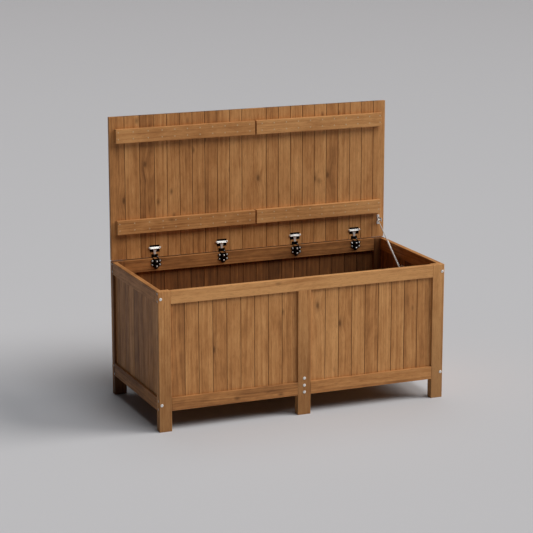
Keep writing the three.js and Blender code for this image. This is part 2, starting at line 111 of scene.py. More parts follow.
def linear(colour: str) -> tuple[float, float, float, float]:
    """Turns an sRGB hex colour into linear light.

    Args:
        colour: six hex digits, such as "8f6236".

    Returns:
        Linear red, green and blue, and an alpha of one.
    """
    channels = [int(colour[i : i + 2], 16) / 255 for i in (0, 2, 4)]
    return (*(c / 12.92 if c <= 0.04045 else ((c + 0.055) / 1.055) ** 2.4 for c in channels), 1.0)


def add_node(tree: Tree, kind: str, settings: dict | None = None, links: dict | None = None) -> Node:
    """Adds one node with its settings and links.

    Args:
        tree: the material's node tree.
        kind: the node's type name, without the ShaderNode in front.
        settings: socket names or numbers with their values, or the node's own properties.
        links: socket names or numbers with the output that feeds each.

    Returns:
        The new node.
    """
    made = tree.nodes.new("ShaderNode" + kind)
    for name, value in (settings or {}).items():
        if isinstance(name, int) or name in made.inputs:
            made.inputs[name].default_value = value
        else:
            setattr(made, name, value)
    for name, output in (links or {}).items():
        tree.links.new(output, made.inputs[name])
    return made


def remap(low: float, high: float, first: float, last: float = 0.0) -> dict[str, float]:
    """The settings that turn a value between low and high into one between first and last."""
    return {"From Min": low, "From Max": high, "To Min": first, "To Max": last}


def new_material(name: str) -> tuple[Material, Tree, Node]:
    """Starts a node material.

    Args:
        name: the real material's common name.

    Returns:
        The material, its node tree and its Principled shader.
    """
    made = bpy.data.materials.new(name)
    made.use_nodes = True
    return made, made.node_tree, made.node_tree.nodes["Principled BSDF"]


def in_mm(*corners: tuple[float, float]) -> Profile:
    """Turns corners that are written in millimetres into metres."""
    return tuple((first * MM, second * MM) for first, second in corners)


def block(mesh: Mesh, low: Point, high: Point) -> Verts:
    """Adds a block between two corners.

    Args:
        mesh: the mesh that takes it.
        low: lowest corner.
        high: highest corner.

    Returns:
        The block's vertices.
    """
    low, high = Vector(low), Vector(high)
    place = Matrix.Translation((low + high) / 2) @ Matrix.Diagonal((*(high - low), 1))
    return bmesh.ops.create_cube(mesh, size=1, matrix=place)["verts"]


def sharp_edges(verts: Verts) -> Edges:
    """The edges among these vertices where two faces meet at more than thirty degrees."""
    found = {e for v in verts for e in v.link_edges if len(e.link_faces) == 2}
    return [e for e in found if e.calc_face_angle(0) > math.radians(30)]


def ease(mesh: Mesh, edges: Edges, width: float, segments: int = 2) -> None:
    """Rounds edges over.

    Args:
        mesh: the mesh they belong to.
        edges: the edges to round.
        width: how far the rounding reaches from each edge.
        segments: steps in the rounding.
    """
    bmesh.ops.bevel(
        mesh, geom=edges, offset=width, offset_type="OFFSET", affect="EDGES",
        segments=segments, profile=0.5, material=-1, clamp_overlap=True,
    )


def eased_block(mesh: Mesh, low: Vector, high: Vector, width: float, segments: int = 2) -> None:
    """Adds a block with all its edges rounded over."""
    ease(mesh, sharp_edges(block(mesh, low, high)), width, segments)


def prism(mesh: Mesh, outline: list[Vector], sweep: Vector) -> Verts:
    """Extrudes a flat outline into a closed solid.

    Args:
        mesh: the mesh that takes it.
        outline: corners of the flat face, in order.
        sweep: the way and the distance that it is drawn out.

    Returns:
        The solid's vertices.
    """
    base = [mesh.verts.new(corner) for corner in outline]
    face = mesh.faces.new(base)
    drawn = bmesh.ops.extrude_face_region(mesh, geom=[face], use_keep_orig=True)["geom"]
    moved = [g for g in drawn if isinstance(g, bmesh.types.BMVert)]
    bmesh.ops.translate(mesh, verts=moved, vec=sweep)
    return base + moved


def turned(mesh: Mesh, profile: Profile, place: Matrix, steps: int) -> Verts:
    """Spins a profile about the local Z axis, as on a lathe.

    Args:
        mesh: the mesh that takes it.
        profile: radius and height of each corner, from the axis round to the axis.
        place: where the local frame stands on the box.
        steps: faces round the axis.

    Returns:
        The solid's vertices.
    """
    before = set(mesh.verts)
    corners = [mesh.verts.new((radius, 0, height)) for radius, height in profile]
    edges = [mesh.edges.new(pair) for pair in zip(corners, corners[1:])]
    bmesh.ops.spin(
        mesh, geom=corners + edges, cent=(0, 0, 0), axis=(0, 0, 1), dvec=(0, 0, 0),
        angle=math.tau, steps=steps, use_merge=True, use_duplicate=False,
    )
    made = [v for v in mesh.verts if v not in before]
    bmesh.ops.remove_doubles(mesh, verts=made, dist=SAME_PLACE)
    made = [v for v in mesh.verts if v not in before]
    bmesh.ops.transform(mesh, matrix=place, verts=made)
    for face in {f for v in made for f in v.link_faces}:
        face.smooth = True
    for edge in sharp_edges(made):
        edge.smooth = False
    return made


def facing(direction: Vector, at: Point) -> Matrix:
    """A frame at a point whose local Z axis looks in a direction.

    Args:
        direction: where local Z looks.
        at: the frame's origin.

    Returns:
        The frame as a matrix.
    """
    return Matrix.Translation(Vector(at)) @ direction.to_track_quat("Z", "Y").to_matrix().to_4x4()


def islands(mesh: Mesh) -> list[Verts]:
    """Groups the vertices of a mesh into its separate solids.

    Args:
        mesh: the mesh to look through.

    Returns:
        The vertices of each solid.
    """
    left = set(mesh.verts)
    groups = []
    while left:
        group, ahead = [], [left.pop()]
        while ahead:
            vert = ahead.pop()
            group.append(vert)
            near = [e.other_vert(vert) for e in vert.link_edges]
            fresh = [v for v in near if v in left]
            left.difference_update(fresh)
            ahead.extend(fresh)
        groups.append(group)
    return groups


def to_object(mesh: Mesh, name: str) -> Object:
    """Closes a bmesh into an object that stands at the origin.

    Args:
        mesh: the finished bmesh, which is freed.
        name: the object's name.

    Returns:
        The new object.
    """
    bmesh.ops.recalc_face_normals(mesh, faces=mesh.faces)
    data = bpy.data.meshes.new(name)
    mesh.to_mesh(data)
    mesh.free()
    made = bpy.data.objects.new(name, data)
    bpy.context.scene.collection.objects.link(made)
    return made


def carve(solid: Mesh, cutter: Mesh) -> Mesh:
    """Cuts one set of solids out of another.

    Args:
        solid: the timber, which is freed.
        cutter: the shapes to take away, which are freed.

    Returns:
        A new mesh with the cuts made.
    """
    body = to_object(solid, "timber_blank")
    tool = to_object(cutter, "cutter")
    cut = body.modifiers.new("cut", "BOOLEAN")
    cut.operation, cut.solver, cut.object = "DIFFERENCE", "EXACT", tool
    bpy.context.view_layer.update()
    shown = body.evaluated_get(bpy.context.evaluated_depsgraph_get())
    result = bmesh.new()
    result.from_mesh(shown.to_mesh())
    shown.to_mesh_clear()
    for used in (body, tool):
        data = used.data
        bpy.data.objects.remove(used)
        bpy.data.meshes.remove(data)
    bmesh.ops.remove_doubles(result, verts=result.verts, dist=SAME_PLACE)
    return result


@dataclass(frozen=True)
class Fixing:
    """Which body a piece rides on, which CAD nodes it stands for, and its finish."""

    body: str
    nodes: tuple[str, ...]
    slot: str


def fix(mesh: Mesh, name: str, material: Material, fixing: Fixing) -> None:
    """Closes a mesh into a piece, and gives it its material and its place in the frame.

    Args:
        mesh: the finished bmesh, which is freed.
        name: the piece's name.
        material: its finish.
        fixing: its body, nodes and slot.
    """
    piece = to_object(mesh, name)
    piece.data.materials.append(material)
    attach(piece, fixing.body)
    if fixing.nodes:
        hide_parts(*fixing.nodes)
    log.info("%s: %d faces on %s", piece.name, len(piece.data.polygons), fixing.body)


# ---- finishes ----


@dataclass(frozen=True)
class OiledAcacia:
    """Sawn, planed and oiled acacia.

    The eye sees warm brown with soft streaks along the grain, growth rings a few millimetres
    apart that turn to arcs on the ends, short dark pores, a few knots, and a satin sheen.
    The V between boards and the feet of the uprights are darkened with painted shade.
    """

    name: str = "oiled_acacia"
    deep: str = "4c2f19"
    dark: str = "7c502c"
    middle: str = "b47c48"
    light: str = "d29b62"
    knot: str = "442813"
    seam: str = "2e1a0c"
    tone_weight: float = 0.2
    ring_spacing: float = 9 * MM
    streak_width: float = 8 * MM
    pore_width: float = 0.9 * MM
    pore_length: float = 16 * MM

    def build(self) -> Material:
        """Makes the material.

        Returns:
            The material, which reads the attributes that Sawmill writes.
        """
        material, tree, shader = new_material(self.name)
        grain = add_node(tree, "Attribute", {"attribute_name": "grain"}).outputs["Vector"]
        tone = add_node(tree, "Attribute", {"attribute_name": "tone"}).outputs["Fac"]
        seam = add_node(tree, "Attribute", {"attribute_name": "seam"}).outputs["Fac"]
        knot = add_node(tree, "Attribute", {"attribute_name": "knot"}).outputs["Vector"]

        away = self._knot_distance(tree, knot)
        bent = self._bend_round_knot(tree, grain, away)
        streaks = self._stretched_noise(tree, bent, 0.2, self.streak_width, 3.0, 0.6)
        fine = self._stretched_noise(tree, bent, 0.05, self.streak_width / 3.4, 2.0, 0.6)
        clouds = self._stretched_noise(tree, bent, 0.1, 0.036, 3.0, 0.55)
        blotches = self._stretched_noise(tree, bent, 0.028, 0.012, 2.0, 0.6)
        pores = self._stretched_noise(tree, bent, self.pore_length, self.pore_width, 1.0, 0.5)
        rings = self._rings(tree, bent)

        parts = ((streaks, 0.34), (rings, 0.1), (fine, 0.2), (clouds, 0.36), (blotches, 0.15))
        figure = self._weighed(tree, parts)
        shift = {"operation": "MULTIPLY_ADD", 1: self.tone_weight}
        toned = add_node(tree, "Math", shift, {0: tone, 2: figure}).outputs[0]
        ramp = add_node(tree, "ValToRGB", None, {"Fac": toned})
        stops = ((0.1, self.deep), (0.36, self.dark), (0.56, self.middle), (0.76, self.light))
        ramp.color_ramp.elements.remove(ramp.color_ramp.elements[0])
        for index, (at, colour) in enumerate(stops):
            stop = ramp.color_ramp.elements[0] if index == 0 else ramp.color_ramp.elements.new(at)
            stop.position, stop.color = at, linear(colour)

        pore_mask = add_node(tree, "MapRange", remap(0.33, 0.42, 0.35), {"Value": pores}).outputs[0]
        pored = self._mixed(tree, pore_mask, ramp.outputs["Color"], self.dark)
        halo = add_node(tree, "MapRange", remap(0.004, 0.018, 0.4), {"Value": away}).outputs[0]
        haloed = self._mixed(tree, halo, self._pin_knots(tree, bent, pored), self.dark)
        heart = add_node(tree, "MapRange", remap(0.0, 0.006, 0.55), {"Value": away}).outputs[0]
        knotted = self._mixed(tree, heart, haloed, self.knot)
        # Painted shade: the V between boards and the feet of the uprights are mixed towards this dark
        # colour.
        coloured = self._mixed(tree, seam, knotted, self.seam)
        tree.links.new(coloured, shader.inputs["Base Color"])

        rough = add_node(tree, "MapRange", remap(0.3, 0.7, 0.64, 0.52), {"Value": figure}).outputs[0]
        tree.links.new(rough, shader.inputs["Roughness"])
        relief = self._weighed(tree, ((fine, 0.5), (pores, 0.9), (rings, 0.15)))
        bump = add_node(tree, "Bump", {"Strength": 0.35, "Distance": 0.35 * MM}, {"Height": relief})
        tree.links.new(bump.outputs[0], shader.inputs["Normal"])
        shader.inputs["IOR"].default_value = 1.46
        shader.inputs["Specular IOR Level"].default_value = 0.25
        return material

    def _pin_knots(self, tree: Tree, grain: Socket, under: Socket) -> Socket:
        """Darkens the few small knots that a board meets by chance.

        Args:
            tree: the material's node tree.
            grain: the place in the tree that the board came from.
            under: the colour without them.

        Returns:
            The colour with them.
        """
        scaled = add_node(
            tree, "VectorMath", {"operation": "MULTIPLY", 1: (1 / 0.15, 1 / 0.08, 1 / 0.08)},
            {0: grain},
        ).outputs[0]
        nearest = add_node(tree, "TexVoronoi", {"Scale": 1.0}, {"Vector": scaled}).outputs["Distance"]
        share = add_node(tree, "MapRange", remap(0.02, 0.12, 0.6), {"Value": nearest}).outputs[0]
        return self._mixed(tree, share, under, self.knot)

    def _knot_distance(self, tree: Tree, knot: Socket) -> Socket:
        """Measures from the board's knot, which is drawn out a little along the grain.

        Args:
            tree: the material's node tree.
            knot: the way from the knot.

        Returns:
            The distance in metres.
        """
        squeezed = add_node(
            tree, "VectorMath", {"operation": "MULTIPLY", 1: (0.55, 1.0, 0.3)}, {0: knot}
        ).outputs[0]
        wobble = add_node(tree, "TexNoise", {"Scale": 90.0, "Detail": 2.0}, {"Vector": knot}).outputs["Fac"]
        length = add_node(tree, "VectorMath", {"operation": "LENGTH"}, {0: squeezed})
        return add_node(
            tree, "Math", {"operation": "MULTIPLY_ADD", 1: -0.006},
            {0: wobble, 2: length.outputs["Value"]},
        ).outputs[0]

    def _bend_round_knot(self, tree: Tree, grain: Socket, away: Socket) -> Socket:
        """Pushes the grain aside near the knot, and lets it wander slowly along the board.

        Args:
            tree: the material's node tree.
            grain: the place in the tree that the board came from.
            away: the distance from the knot.

        Returns:
            The bent place.
        """
        push = add_node(tree, "MapRange", remap(0.0, 0.035, 0.012), {"Value": away}).outputs[0]
        slow = add_node(
            tree, "VectorMath", {"operation": "MULTIPLY", 1: (2.2, 9.0, 9.0)}, {0: grain}
        ).outputs[0]
        wander = add_node(tree, "TexNoise", {"Scale": 1.0, "Detail": 1.0}, {"Vector": slow}).outputs["Fac"]
        aside = add_node(
            tree, "Math", {"operation": "MULTIPLY_ADD", 1: 0.02}, {0: wander, 2: push}
        ).outputs[0]
        offset = add_node(tree, "CombineXYZ", None, {"Y": aside}).outputs[0]
        return add_node(tree, "VectorMath", {"operation": "ADD"}, {0: grain, 1: offset}).outputs[0]

    def _stretched_noise(
        self, tree: Tree, grain: Socket,
        length: float, width: float, detail: float, roughness: float,
    ) -> Socket:
        """Makes noise that is drawn out along the grain.

        Args:
            tree: the material's node tree.
            grain: the place in the tree that the board came from.
            length: a patch's length along the grain.
            width: its width across the grain.
            detail: how many finer octaves it has.
            roughness: the weight of the finer octaves.

        Returns:
            The noise, from 0 to 1.
        """
        scaled = add_node(
            tree, "VectorMath", {"operation": "MULTIPLY", 1: (1 / length, 1 / width, 1 / width)},
            {0: grain},
        ).outputs[0]
        return add_node(
            tree, "TexNoise", {"Scale": 0.7, "Detail": detail, "Roughness": roughness},
            {"Vector": scaled},
        ).outputs["Fac"]

    def _rings(self, tree: Tree, grain: Socket) -> Socket:
        """Draws growth rings round the heart of the tree, which runs along the grain.

        Args:
            tree: the material's node tree.
            grain: the place in the tree that the board came from.

        Returns:
            The rings, from 0 to 1.
        """
        turned_grain = add_node(
            tree, "VectorMath", {"operation": "MULTIPLY", 1: (0.06, 1.0, 1.0)}, {0: grain}
        ).outputs[0]
        return add_node(
            tree, "TexWave",
            {
                "wave_type": "RINGS", "rings_direction": "X", "wave_profile": "SAW",
                "Scale": math.tau / 20 / self.ring_spacing, "Distortion": 2.5,
                "Detail": 2.0, "Detail Scale": 0.6,
            },
            {"Vector": turned_grain},
        ).outputs["Fac"]

    @staticmethod
    def _weighed(tree: Tree, parts: tuple[tuple[Socket, float], ...]) -> Socket:
        """Adds several patterns, each times its weight.

        Args:
            tree: the material's node tree.
            parts: each pattern with its weight.

        Returns:
            The sum.
        """
        total = None
        for pattern, weight in parts:
            links = {0: pattern} if total is None else {0: pattern, 2: total}
            settings = {"operation": "MULTIPLY_ADD", 1: weight, 2: 0.0}
            total = add_node(tree, "Math", settings, links).outputs[0]
        return total

    @staticmethod
    def _mixed(tree: Tree, share: Socket, under: Socket, over: str) -> Socket:
        """Lays one colour over another by a share."""
        return add_node(
            tree, "Mix", {"data_type": "RGBA", "blend_type": "MIX", 7: linear(over)},
            {0: share, 6: under},
        ).outputs[2]


@dataclass(frozen=True)
class PlatedSteel:
    """Pressed or turned steel with a plated coat.

    The eye sees reflections that are broken a little by rolling marks and handling. Where the
    metallic share is below one, the pale colour shows matt as painted reflection, so that the
    plate looks pale from every side.
    """

    name: str
    colour: str
    roughness: float
    metallic: float = 1.0
    mark_size: float = 1.5 * MM

    def build(self) -> Material:
        """Makes the material.

        Returns:
            The material, which reads Object coordinates.
        """
        material, tree, shader = new_material(self.name)
        where = add_node(tree, "TexCoord").outputs["Object"]
        marks = add_node(
            tree, "TexNoise", {"Scale": 1 / self.mark_size, "Detail": 4.0, "Roughness": 0.6},
            {"Vector": where},
        ).outputs["Fac"]
        clouds = add_node(
            tree, "TexNoise", {"Scale": 60.0, "Detail": 2.0}, {"Vector": where}
        ).outputs["Fac"]
        spread = remap(0.3, 0.7, self.roughness * 0.8, self.roughness * 1.35)
        rough = add_node(tree, "MapRange", spread, {"Value": clouds}).outputs[0]
        dulled = add_node(
            tree, "Mix", {"data_type": "RGBA", "blend_type": "MULTIPLY", 6: linear(self.colour)},
        )
        shade = add_node(tree, "ValToRGB", None, {"Fac": marks})
        shade.color_ramp.elements[0].position = 0.25
        shade.color_ramp.elements[0].color = (0.8, 0.8, 0.8, 1)
        shade.color_ramp.elements[1].position = 0.6
        tree.links.new(shade.outputs[0], dulled.inputs[7])
        dulled.inputs[0].default_value = 1.0
        tree.links.new(dulled.outputs[2], shader.inputs["Base Color"])
        tree.links.new(rough, shader.inputs["Roughness"])
        bump = add_node(tree, "Bump", {"Strength": 0.15, "Distance": 0.05 * MM}, {"Height": marks})
        tree.links.new(bump.outputs[0], shader.inputs["Normal"])
        # A metallic below one lets the pale colour show matt: painted reflection.
        shader.inputs["Metallic"].default_value = self.metallic
        return material


@dataclass(frozen=True)
class PaintedFloor:
    """Matt pale grey studio floor in rolled paint, with a painted light falloff: lighter near the box, a
    little darker far away.
    """

    name: str = "painted_floor"
    colour: str = "c6c7cb"
    worn: str = "aeadb0"
    near: float = 2.0
    far: float = 26.0

    def build(self) -> Material:
        """Makes the material.

        Returns:
            The material, which reads Object coordinates.
        """
        material, tree, shader = new_material(self.name)
        where = add_node(tree, "TexCoord").outputs["Object"]
        mottle = add_node(tree, "TexNoise", {"Scale": 1.4, "Detail": 3.0}, {"Vector": where}).outputs["Fac"]
        rough = add_node(tree, "MapRange", remap(0.0, 1.0, 0.82, 0.9), {"Value": mottle}).outputs[0]
        tree.links.new(rough, shader.inputs["Roughness"])
        away = add_node(tree, "VectorMath", {"operation": "LENGTH"}, {0: where})
        # Painted light falloff: the colour turns from the near one to the darker far one with the distance
        # from the box.
        fading = remap(self.near, self.far, 0.0, 1.0)
        share = add_node(tree, "MapRange", fading, {"Value": away.outputs["Value"]}).outputs[0]
        paint = add_node(
            tree, "Mix",
            {"data_type": "RGBA", 6: linear(self.colour), 7: linear(self.worn)},
            {0: share},
        ).outputs[2]
        tree.links.new(paint, shader.inputs["Base Color"])
        shader.inputs["Specular IOR Level"].default_value = 0.2
        return material


@dataclass
class Finishes:
    """Every material of the box."""

    wood: Material = field(default_factory=lambda: OiledAcacia().build())
    # The bright plates' last number is a metallic below one: their matt share is painted reflection.
    chrome: Material = field(
        default_factory=lambda: PlatedSteel("nickel_plated_steel", "f6f3ee", 0.2, 0.4).build()
    )
    black: Material = field(
        default_factory=lambda: PlatedSteel("black_nickel_steel", "2b2827", 0.3).build()
    )
    zinc: Material = field(
        default_factory=lambda: PlatedSteel("zinc_plated_steel", "f4f2ee", 0.28, 0.35).build()
    )
    passivated: Material = field(
        default_factory=lambda: PlatedSteel("yellow_passivated_steel", "d6c7a2", 0.4, 0.5).build()
    )


# ---- wood ----


@dataclass(frozen=True)
class Knot:
    """A knot in a board: how far along the grain and across it, in metres, in the box's frame."""

    along: float
    across: float


@dataclass
class Sawmill:
    """Cuts every board from its own place in a tree, the same way each time.

    It writes four attributes on a mesh: grain, the place in the tree; tone, the board's own
    lightness, which painted shade lowers on the inner faces; seam, the painted shade in the
    V between boards and at the feet; and knot, the way from the board's knot.
    """

    seed: int = 11
    far: float = 1.0

    def __post_init__(self) -> None:
        """Starts the mill's own run of chance."""
        self.chance = random.Random(self.seed)

    @staticmethod
    def prepare(mesh: Mesh) -> None:
        """Adds the four attributes to a mesh, before its vertices are looked up."""
        for name in ("grain", "knot"):
            mesh.verts.layers.float_vector.new(name)
        for name in ("tone", "seam"):
            mesh.verts.layers.float.new(name)

    def cut_timber(
        self, mesh: Mesh, along: Axis, across: Axis,
        tone: float = 0.0, knot: Knot | None = None,
    ) -> None:
        """Marks a mesh that is one timber, with the arguments of cut."""
        self.prepare(mesh)
        self.cut(mesh, list(mesh.verts), along, across, tone, knot)

    def cut(
        self, mesh: Mesh, verts: Verts, along: Axis, across: Axis,
        tone: float = 0.0, knot: Knot | None = None,
    ) -> None:
        """Marks one board.

        Args:
            mesh: the mesh that holds the board.
            verts: the board's vertices.
            along: the way its grain runs.
            across: the way of its width.
            tone: from -1, dark, to 1, light.
            knot: its knot, if it has one.
        """
        layers = mesh.verts.layers
        grain, way, shade = layers.float_vector["grain"], layers.float_vector["knot"], layers.float["tone"]
        through = ({Axis.X, Axis.Y, Axis.Z} - {along, across}).pop()
        centre = sum((v.co for v in verts), Vector()) / len(verts)
        start = self.chance.uniform(0, 9)
        heart = Vector((0, self.chance.uniform(-0.05, 0.05), self.chance.uniform(0.03, 0.11)))
        flip = self.chance.choice((-1, 1))
        order = (along.value, across.value, through.value)
        for vert in verts:
            local = Vector(vert.co[i] - centre[i] for i in order)
            vert[grain] = Vector((start, 0, 0)) + Vector((local.x * flip, local.y, local.z)) + heart
            vert[shade] = tone
            if knot is None:
                vert[way] = Vector((self.far, self.far, self.far))
            else:
                place = (vert.co[along.value] - knot.along, vert.co[across.value] - knot.across)
                vert[way] = Vector((place[0], place[1], local.z))

    @staticmethod
    def shade_inside(mesh: Mesh, depth: Axis, inwards: int, amount: float) -> None:
        """Paints shade on the side that looks into the box, by lowering the tone there.

        Args:
            mesh: a timber or a panel that is already marked.
            depth: the axis through its thickness.
            inwards: 1 if the inside lies towards higher numbers, -1 if towards lower ones.
            amount: how far to lower the tone.
        """
        tone = mesh.verts.layers.float["tone"]
        places = [vert.co[depth.value] for vert in mesh.verts]
        middle = (min(places) + max(places)) / 2
        for vert in mesh.verts:
            if (vert.co[depth.value] - middle) * inwards > 0:
                vert[tone] -= amount

    def any_tone(self, spread: float = 0.5) -> float:
        """A tone by chance, mostly near the middle."""
        return self.chance.triangular(-spread, spread, 0)


@dataclass(frozen=True)
class BoardShape:
    """The cross-section of one tongued board, with a V at both of its edges."""

    thick: float
    v_width: float = 2.4 * MM
    v_depth: float = 1.6 * MM
    gap: float = 0.5 * MM
    tongue: float = 2.4 * MM
    tongue_length: float = 4 * MM
    play: float = 0.25 * MM

    def outline(self, start: float, end: float, tongued: bool, grooved: bool) -> list[tuple[float, float]]:
        """The board's outline seen end on.

        Args:
            start: where the board starts across the wall.
            end: where it ends.
            tongued: whether its end edge carries a tongue.
            grooved: whether its start edge carries a groove.

        Returns:
            Corners as across and depth, in order.
        """
        half = self.gap / 2
        a, b = (start + half if grooved else start), (end - half if tongued else end)
        low = (self.thick - self.tongue) / 2
        top = low + self.tongue
        points = []
        if grooved:
            mouth, deep = low - self.play, a + self.tongue_length + 2 * self.play
            points += [(start + self.v_width / 2, 0), (a, self.v_depth), (a, mouth), (deep, mouth)]
            upper = top + self.play
            points += [(deep, upper), (a, upper), (a, self.thick - self.v_depth)]
            points += [(start + self.v_width / 2, self.thick)]
        else:
            points += [(a, 0), (a, self.thick)]
        if tongued:
            tip = b + self.tongue_length
            points += [(end - self.v_width / 2, self.thick), (b, self.thick - self.v_depth)]
            points += [(b, top), (tip, top), (tip, low), (b, low), (b, self.v_depth)]
            points += [(end - self.v_width / 2, 0)]
        else:
            points += [(b, self.thick), (b, 0)]
        return points


@dataclass
class BoardedSurface:
    """Upright tongued boards side by side, in the plane of one wall or of the lid."""

    shape: BoardShape
    across: Axis
    start: float
    end: float
    joints: list[float]
    face: float
    low: float
    high: float
    ease: float = 0.5 * MM

    def build(self) -> Mesh:
        """Builds every board.

        Returns:
            A mesh in which each board is a closed solid of its own.
        """
        mesh = bmesh.new()
        stops = [self.start, *self.joints, self.end]
        for index, (a, b) in enumerate(zip(stops, stops[1:])):
            profile = self.shape.outline(a, b, index < len(stops) - 2, index > 0)
            corners = [self._place(across, depth) for across, depth in profile]
            verts = prism(mesh, corners, Vector((0, 0, self.high - self.low)))
            ease(mesh, self._arrises(verts), self.ease, 1)
        return mesh

    @property
    def depth(self) -> Axis:
        """The axis through the boards' thickness."""
        return Axis.Y if self.across is Axis.X else Axis.X

    def _place(self, across: float, depth: float) -> Vector:
        """A corner of the cross-section on the wall."""
        place = (across, self.face + depth) if self.across is Axis.X else (self.face + depth, across)
        return Vector((*place, self.low))

    def _arrises(self, verts: Verts) -> Edges:
        """Finds the long edges on both faces, where the V starts, and the edges of the ends.

        Args:
            verts: one board's vertices.

        Returns:
            The edges that a maker would ease.
        """
        faces = (self.face, self.face + self.shape.thick)
        depth = self.depth.value
        return [
            edge for edge in sharp_edges(verts)
            if all(min(abs(v.co[depth] - f) for f in faces) < SAME_PLACE for v in edge.verts)
        ]

    def dress(
        self, mesh: Mesh, mill: Sawmill, tones: tuple[float, ...],
        knots: dict[int, Knot] | None = None,
    ) -> None:
        """Gives each board its grain, its tone and the painted shade in its V.

        Args:
            mesh: the finished boards.
            mill: cuts the grain.
            tones: one tone for each board, from the first one on.
            knots: the boards that have a knot, by number.
        """
        which, depth = self.across.value, self.depth.value
        mill.prepare(mesh)
        stops = [self.start, *self.joints, self.end]
        groups = islands(mesh)
        groups.sort(key=lambda group: min(v.co[which] for v in group))
        for index, group in enumerate(groups):
            low = min(v.co[which] for v in group)
            board = max(i for i, stop in enumerate(stops[:-1]) if stop <= low + self.shape.v_width)
            tone = tones[board % len(tones)]
            mill.cut(mesh, group, Axis.Z, self.across, tone, (knots or {}).get(board))
            # Painted shade in the V: darkest where the V runs deepest, none on the faces.
            seam = mesh.verts.layers.float["seam"]
            reach = self.shape.v_depth
            for vert in group:
                into = vert.co[depth] - self.face
                inner = min(into, self.shape.thick - into)
                vert[seam] = min(1.0, max(0.0, inner / reach)) if self._near_joint(vert) else 0.0

    def _near_joint(self, vert: bmesh.types.BMVert) -> bool:
        """Whether a vertex lies in or beside a V."""
        place = vert.co[self.across.value]
        return any(abs(place - joint) < self.shape.tongue_length + MM for joint in self.joints)


# ---- frame ----


